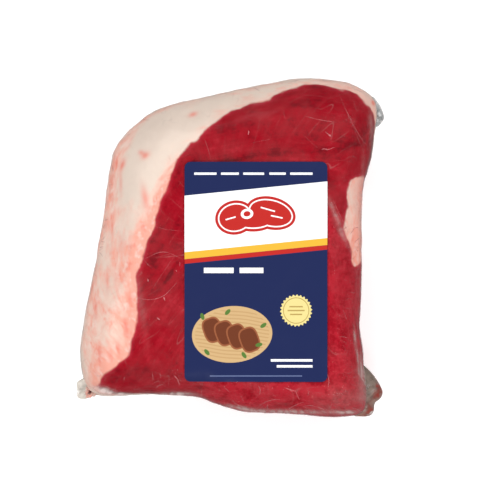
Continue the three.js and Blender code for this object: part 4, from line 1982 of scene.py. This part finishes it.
def bag_corners() -> list[BagCorner]:
    """The three loose corners of the bag.

    Returns:
        The corners, in the order in which they are made.
    """
    return [
        BagCorner(
            name="corner_lower_left",
            node="bag_corner_lower_left",
            root=((-98, -88), (-88, -98)),
            edge=(
                (-104.6, -91.8), (-106, -93.6), (-106, -99), (-105.2, -103.6),
                (-100.4, -104.6), (-96, -103), (-92, -101.4),
            ),
            thick=2.4,
            depth=0.4,
            drop=3,
            haze=0.72,
            finish=FilmFinish(
                "corner_film_lower_left",
                milk=linear(222, 214, 203),
                juice_and_glint=linear(226, 152, 136),
                clear=(0.99, 0.985, 0.98),
                bend=1.3,
                relief=0.15,
                wrinkled=0.2,
            ),
            ridges=(
                Seam((-105, -96), (-97, -97), 0, 1.2, -0.6),
                Seam((-104, -102.6), (-95, -99.6), 1, 1.4, -0.8),
            ),
            juice_and_glint_spots=(Oval((-95.6, -99.6), (3, 2), 20, 0.9),),
            strands=(
                (3.2, ((-99, -101.6), (-98.4, -98.4), (-95.8, -96), (-91, -96))),
                (3.0, ((-99.4, -103), (-95.6, -101.4), (-91.4, -99.8), (-87, -99))),
            ),
            holes=((1.5, (-97.2, -99)),),
        ),
        BagCorner(
            name="corner_upper_right",
            node="bag_corner_upper_right",
            root=((95, 82), (93, 101)),
            edge=(
                (101.8, 83.4), (104.6, 86.6), (106, 90.2), (103.4, 97.6), (98.4, 104.2),
            ),
            thick=4.0,
            depth=0.8,
            drop=2,
            haze=0.62,
            finish=FilmFinish(
                "corner_film_upper_right",
                milk=linear(172, 174, 174),
                # White, so that the spot below is a painted highlight on the film.
                juice_and_glint=WHITE,
                clear=(0.95, 0.95, 0.95),
                bend=1.5,
                shine=1.0,
                gloss=0.1,
                relief=0.5,
                wrinkled=0.4,
            ),
            ridges=(
                Seam((99, 97), (104, 88), 0, 1.0, -0.9),
                Seam((98, 90), (105, 91), 0, 0.9, 0.8),
            ),
            # A painted highlight near the corner's tip.
            juice_and_glint_spots=(Oval((102.8, 91.6), (0.9, 1.7), 20, 1.6),),
        ),
        BagCorner(
            name="corner_lower_right",
            node="bag_corner_lower_right",
            root=((80, -110), (88, -80)),
            edge=(
                (86, -116.4), (95, -116.4), (98.8, -113.4), (99.8, -107.6),
                (103.6, -104.2), (105.2, -100.4), (104, -96.4), (100.6, -90.6),
                (96.6, -85.6), (92.4, -81.4),
            ),
            thick=6.0,
            depth=0.6,
            drop=6,
            haze=0.9,
            finish=FilmFinish(
                "corner_film_lower_right",
                milk=linear(140, 122, 110),
                juice_and_glint=linear(142, 52, 42),
                clear=(0.97, 0.96, 0.95),
                bend=1.3,
                shine=0.8,
                relief=0.15,
                wrinkled=0.25,
            ),
            ridges=(
                Seam((90, -107), (103, -97), 0, 1.5, -1.6),
                Seam((90, -111), (100, -104), 0, 1.2, 1.4),
                Seam((89, -100), (101, -90), 1, 1.6, 0.9),
            ),
            juice_and_glint_spots=(
                Oval((102.4, -98), (2.6, 5), -12, 2.6),
                Oval((93, -113), (6, 3.6), 14, 2.6),
                Oval((96.4, -105), (1.4, 7), -48, 0.8),
            ),
            bulge=2.2,
        ),
    ]


@dataclass
class Label:
    """The printed paper label on the film."""

    form: WrappedForm
    lumps: Lumps
    middle: Point = (17.5, -16.4)
    width: float = 96.0
    height: float = 148.0
    corner: float = 4.0
    lift: float = 0.8
    thickness: float = 0.25
    columns: int = 64
    rows: int = 98
    corner_rows: int = 6

    def row_places(self) -> list[float]:
        """The heights of the rows, closer together in the round corners.

        Returns:
            The places of the rows, from the bottom up.
        """
        half = self.height / 2
        turns = [math.pi / 2 * k / self.corner_rows for k in range(self.corner_rows)]
        ends = [half - self.corner * (1 - math.sin(turn)) for turn in turns]
        inner = np.linspace(self.corner - half, half - self.corner, self.rows)
        upper = sorted(ends)[1:] + [half]
        return [-row for row in upper[::-1]] + inner.tolist() + upper

    def half_width(self, row: float) -> float:
        """Half the label's width at a row.

        Args:
            row: The row's distance over the label's middle.

        Returns:
            Half the width.
        """
        into = max(0.0, abs(row) - (self.height / 2 - self.corner))
        drawn_in = self.corner - math.sqrt(max(0.0, self.corner**2 - into**2))
        return self.width / 2 - drawn_in

    def build(self) -> None:
        """Makes the label."""
        rows = self.row_places()
        columns = np.linspace(-1, 1, self.columns + 1)
        x = np.concatenate([columns * self.half_width(row) for row in rows])
        y = np.repeat(rows, len(columns))
        x, y = x + self.middle[0], y + self.middle[1]
        points = np.stack([x, y, self.form.height_at(x, y)], axis=1)
        points[:, 2] += self.lift + self.lumps.rise(points, count=1)
        under = points - (0, 0, self.thickness)
        count = len(columns)
        total = len(points)
        faces = []
        for j in range(len(rows) - 1):
            for i in range(self.columns):
                a = j * count + i
                face = (a, a + 1, a + count + 1, a + count)
                faces.append(face)
                faces.append(tuple(corner + total for corner in face[::-1]))
        rim = [i for i in range(self.columns)]
        rim += [j * count + self.columns for j in range(len(rows) - 1)]
        rim += [(len(rows) - 1) * count + i for i in range(self.columns, 0, -1)]
        rim += [j * count for j in range(len(rows) - 1, 0, -1)]
        for a, b in zip(rim, rim[1:] + rim[:1]):
            faces.append((b, a, a + total, b + total))
        thing = Surface(np.vstack([points, under]), faces).to_object("label_sheet")
        thing.data.set_sharp_from_angle(angle=math.radians(60))
        dress(thing, LabelPrint("label_print", self.middle).build(), ["label"])


@dataclass
class Studio:
    """The camera, the lights and the white surface under the pack."""

    camera_height: float = 1.8
    aim: Point = (0.0135, -0.0017)
    view_width: float = 0.336
    view_level: float = 0.0745
    sensor: float = 36.0
    floor_size: float = 12.0
    floor_glow: float = 0.3
    lamp_turns: Sequence[float] = (35, 125, 215, 305)
    lamp_rise: float = 48.0
    surround: Sequence[Point] = ((0.45, 1.1), (0.52, 0.5), (0.875, 0.5), (0.985, 0.05))
    mirrored: Sequence[Point] = ((0.42, 0.26), (0.52, 0.4), (0.875, 0.5), (0.985, 0.05))
    lamp_distance: float = 1.5
    lamp_size: float = 0.8
    lamp_power: float = 7.6

    def camera(self) -> None:
        """A long lens straight above the pack."""
        data = bpy.data.cameras.new("camera")
        data.sensor_width = self.sensor
        distance = self.camera_height - self.view_level
        data.lens = self.sensor * distance / self.view_width
        data.clip_start = 0.1
        data.clip_end = 40
        thing = bpy.data.objects.new("camera", data)
        thing.location = (*self.aim, self.camera_height)
        bpy.context.collection.objects.link(thing)
        bpy.context.scene.camera = thing

    def lights(self) -> None:
        """Soft lamps round the pack."""
        level = math.cos(math.radians(self.lamp_rise)) * self.lamp_distance
        height = math.sin(math.radians(self.lamp_rise)) * self.lamp_distance
        for azimuth in self.lamp_turns:
            data = bpy.data.lights.new("lamp", "AREA")
            data.shape = "SQUARE"
            data.size = self.lamp_size
            data.energy = self.lamp_power
            thing = bpy.data.objects.new("lamp", data)
            turn = math.radians(azimuth)
            place = Vector((level * math.cos(turn), level * math.sin(turn), height))
            thing.location = place
            thing.rotation_euler = place.to_track_quat("Z", "Y").to_euler()
            bpy.context.collection.objects.link(thing)

    def world(self) -> None:
        """A pale surround that is dim overhead, where the film would mirror it."""
        graph = Graph(bpy.data.worlds.new("world"))
        place = graph.node("TexCoord").outputs["Generated"]
        up = graph.node("SeparateXYZ", inputs={0: place}).outputs["Z"]
        rise = graph.node("MapRange", inputs={"Value": up, "From Min": -1.0}).outputs[0]
        seen = []
        for levels in (self.surround, self.mirrored):
            stops = [(level, (strength,) * 3) for level, strength in levels]
            seen.append(graph.node("ValToRGB", {"stops": stops}, {0: rise}).outputs[0])
        mirror_ray = graph.node("LightPath").outputs["Is Glossy Ray"]
        inputs = {"Color": graph.mix(*seen, mirror_ray)}
        light = graph.node("Background", inputs=inputs).outputs[0]
        graph.node("OutputWorld", inputs={"Surface": light})
        bpy.context.scene.world = graph.owner

    def floor(self) -> None:
        """The white surface."""
        half = self.floor_size / 2 / MM
        corners = np.array(
            [(-half, -half, 0), (half, -half, 0), (half, half, 0), (-half, half, 0)]
        )
        thing = Surface(corners, [(0, 1, 2, 3)]).to_object("floor", smooth=False)
        graph = Graph.of_material("floor")
        inputs = {
            "Base Color": (0.92, 0.92, 0.92),
            "Roughness": 0.9,
            "Specular IOR Level": 0.0,
            "Emission Color": WHITE,
            "Emission Strength": self.floor_glow,
        }
        paper = graph.node("BsdfPrincipled", inputs=inputs)
        thing.data.materials.append(graph.finish(paper.outputs[0]))
        thing.visible_diffuse = False
        thing.visible_glossy = False

    def build(self) -> None:
        """Sets up the whole studio."""
        self.camera()
        self.lights()
        self.world()
        self.floor()
        bpy.context.scene.view_settings.view_transform = "Standard"
        log.info("studio: %d lamps", len(self.lamp_turns))


def main() -> None:
    """Builds the pack and its studio."""
    logging.basicConfig(level=logging.INFO, format="%(message)s")
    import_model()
    form = WrappedForm()
    lumps = Lumps()
    Contents(form, fat_cap_boundary(), side_fat_boundary(), lumps).build()
    Film(form, lumps).build()
    for corner in bag_corners():
        corner.build()
    Label(form, lumps).build()
    Studio().build()


if __name__ == "__main__":
    main()
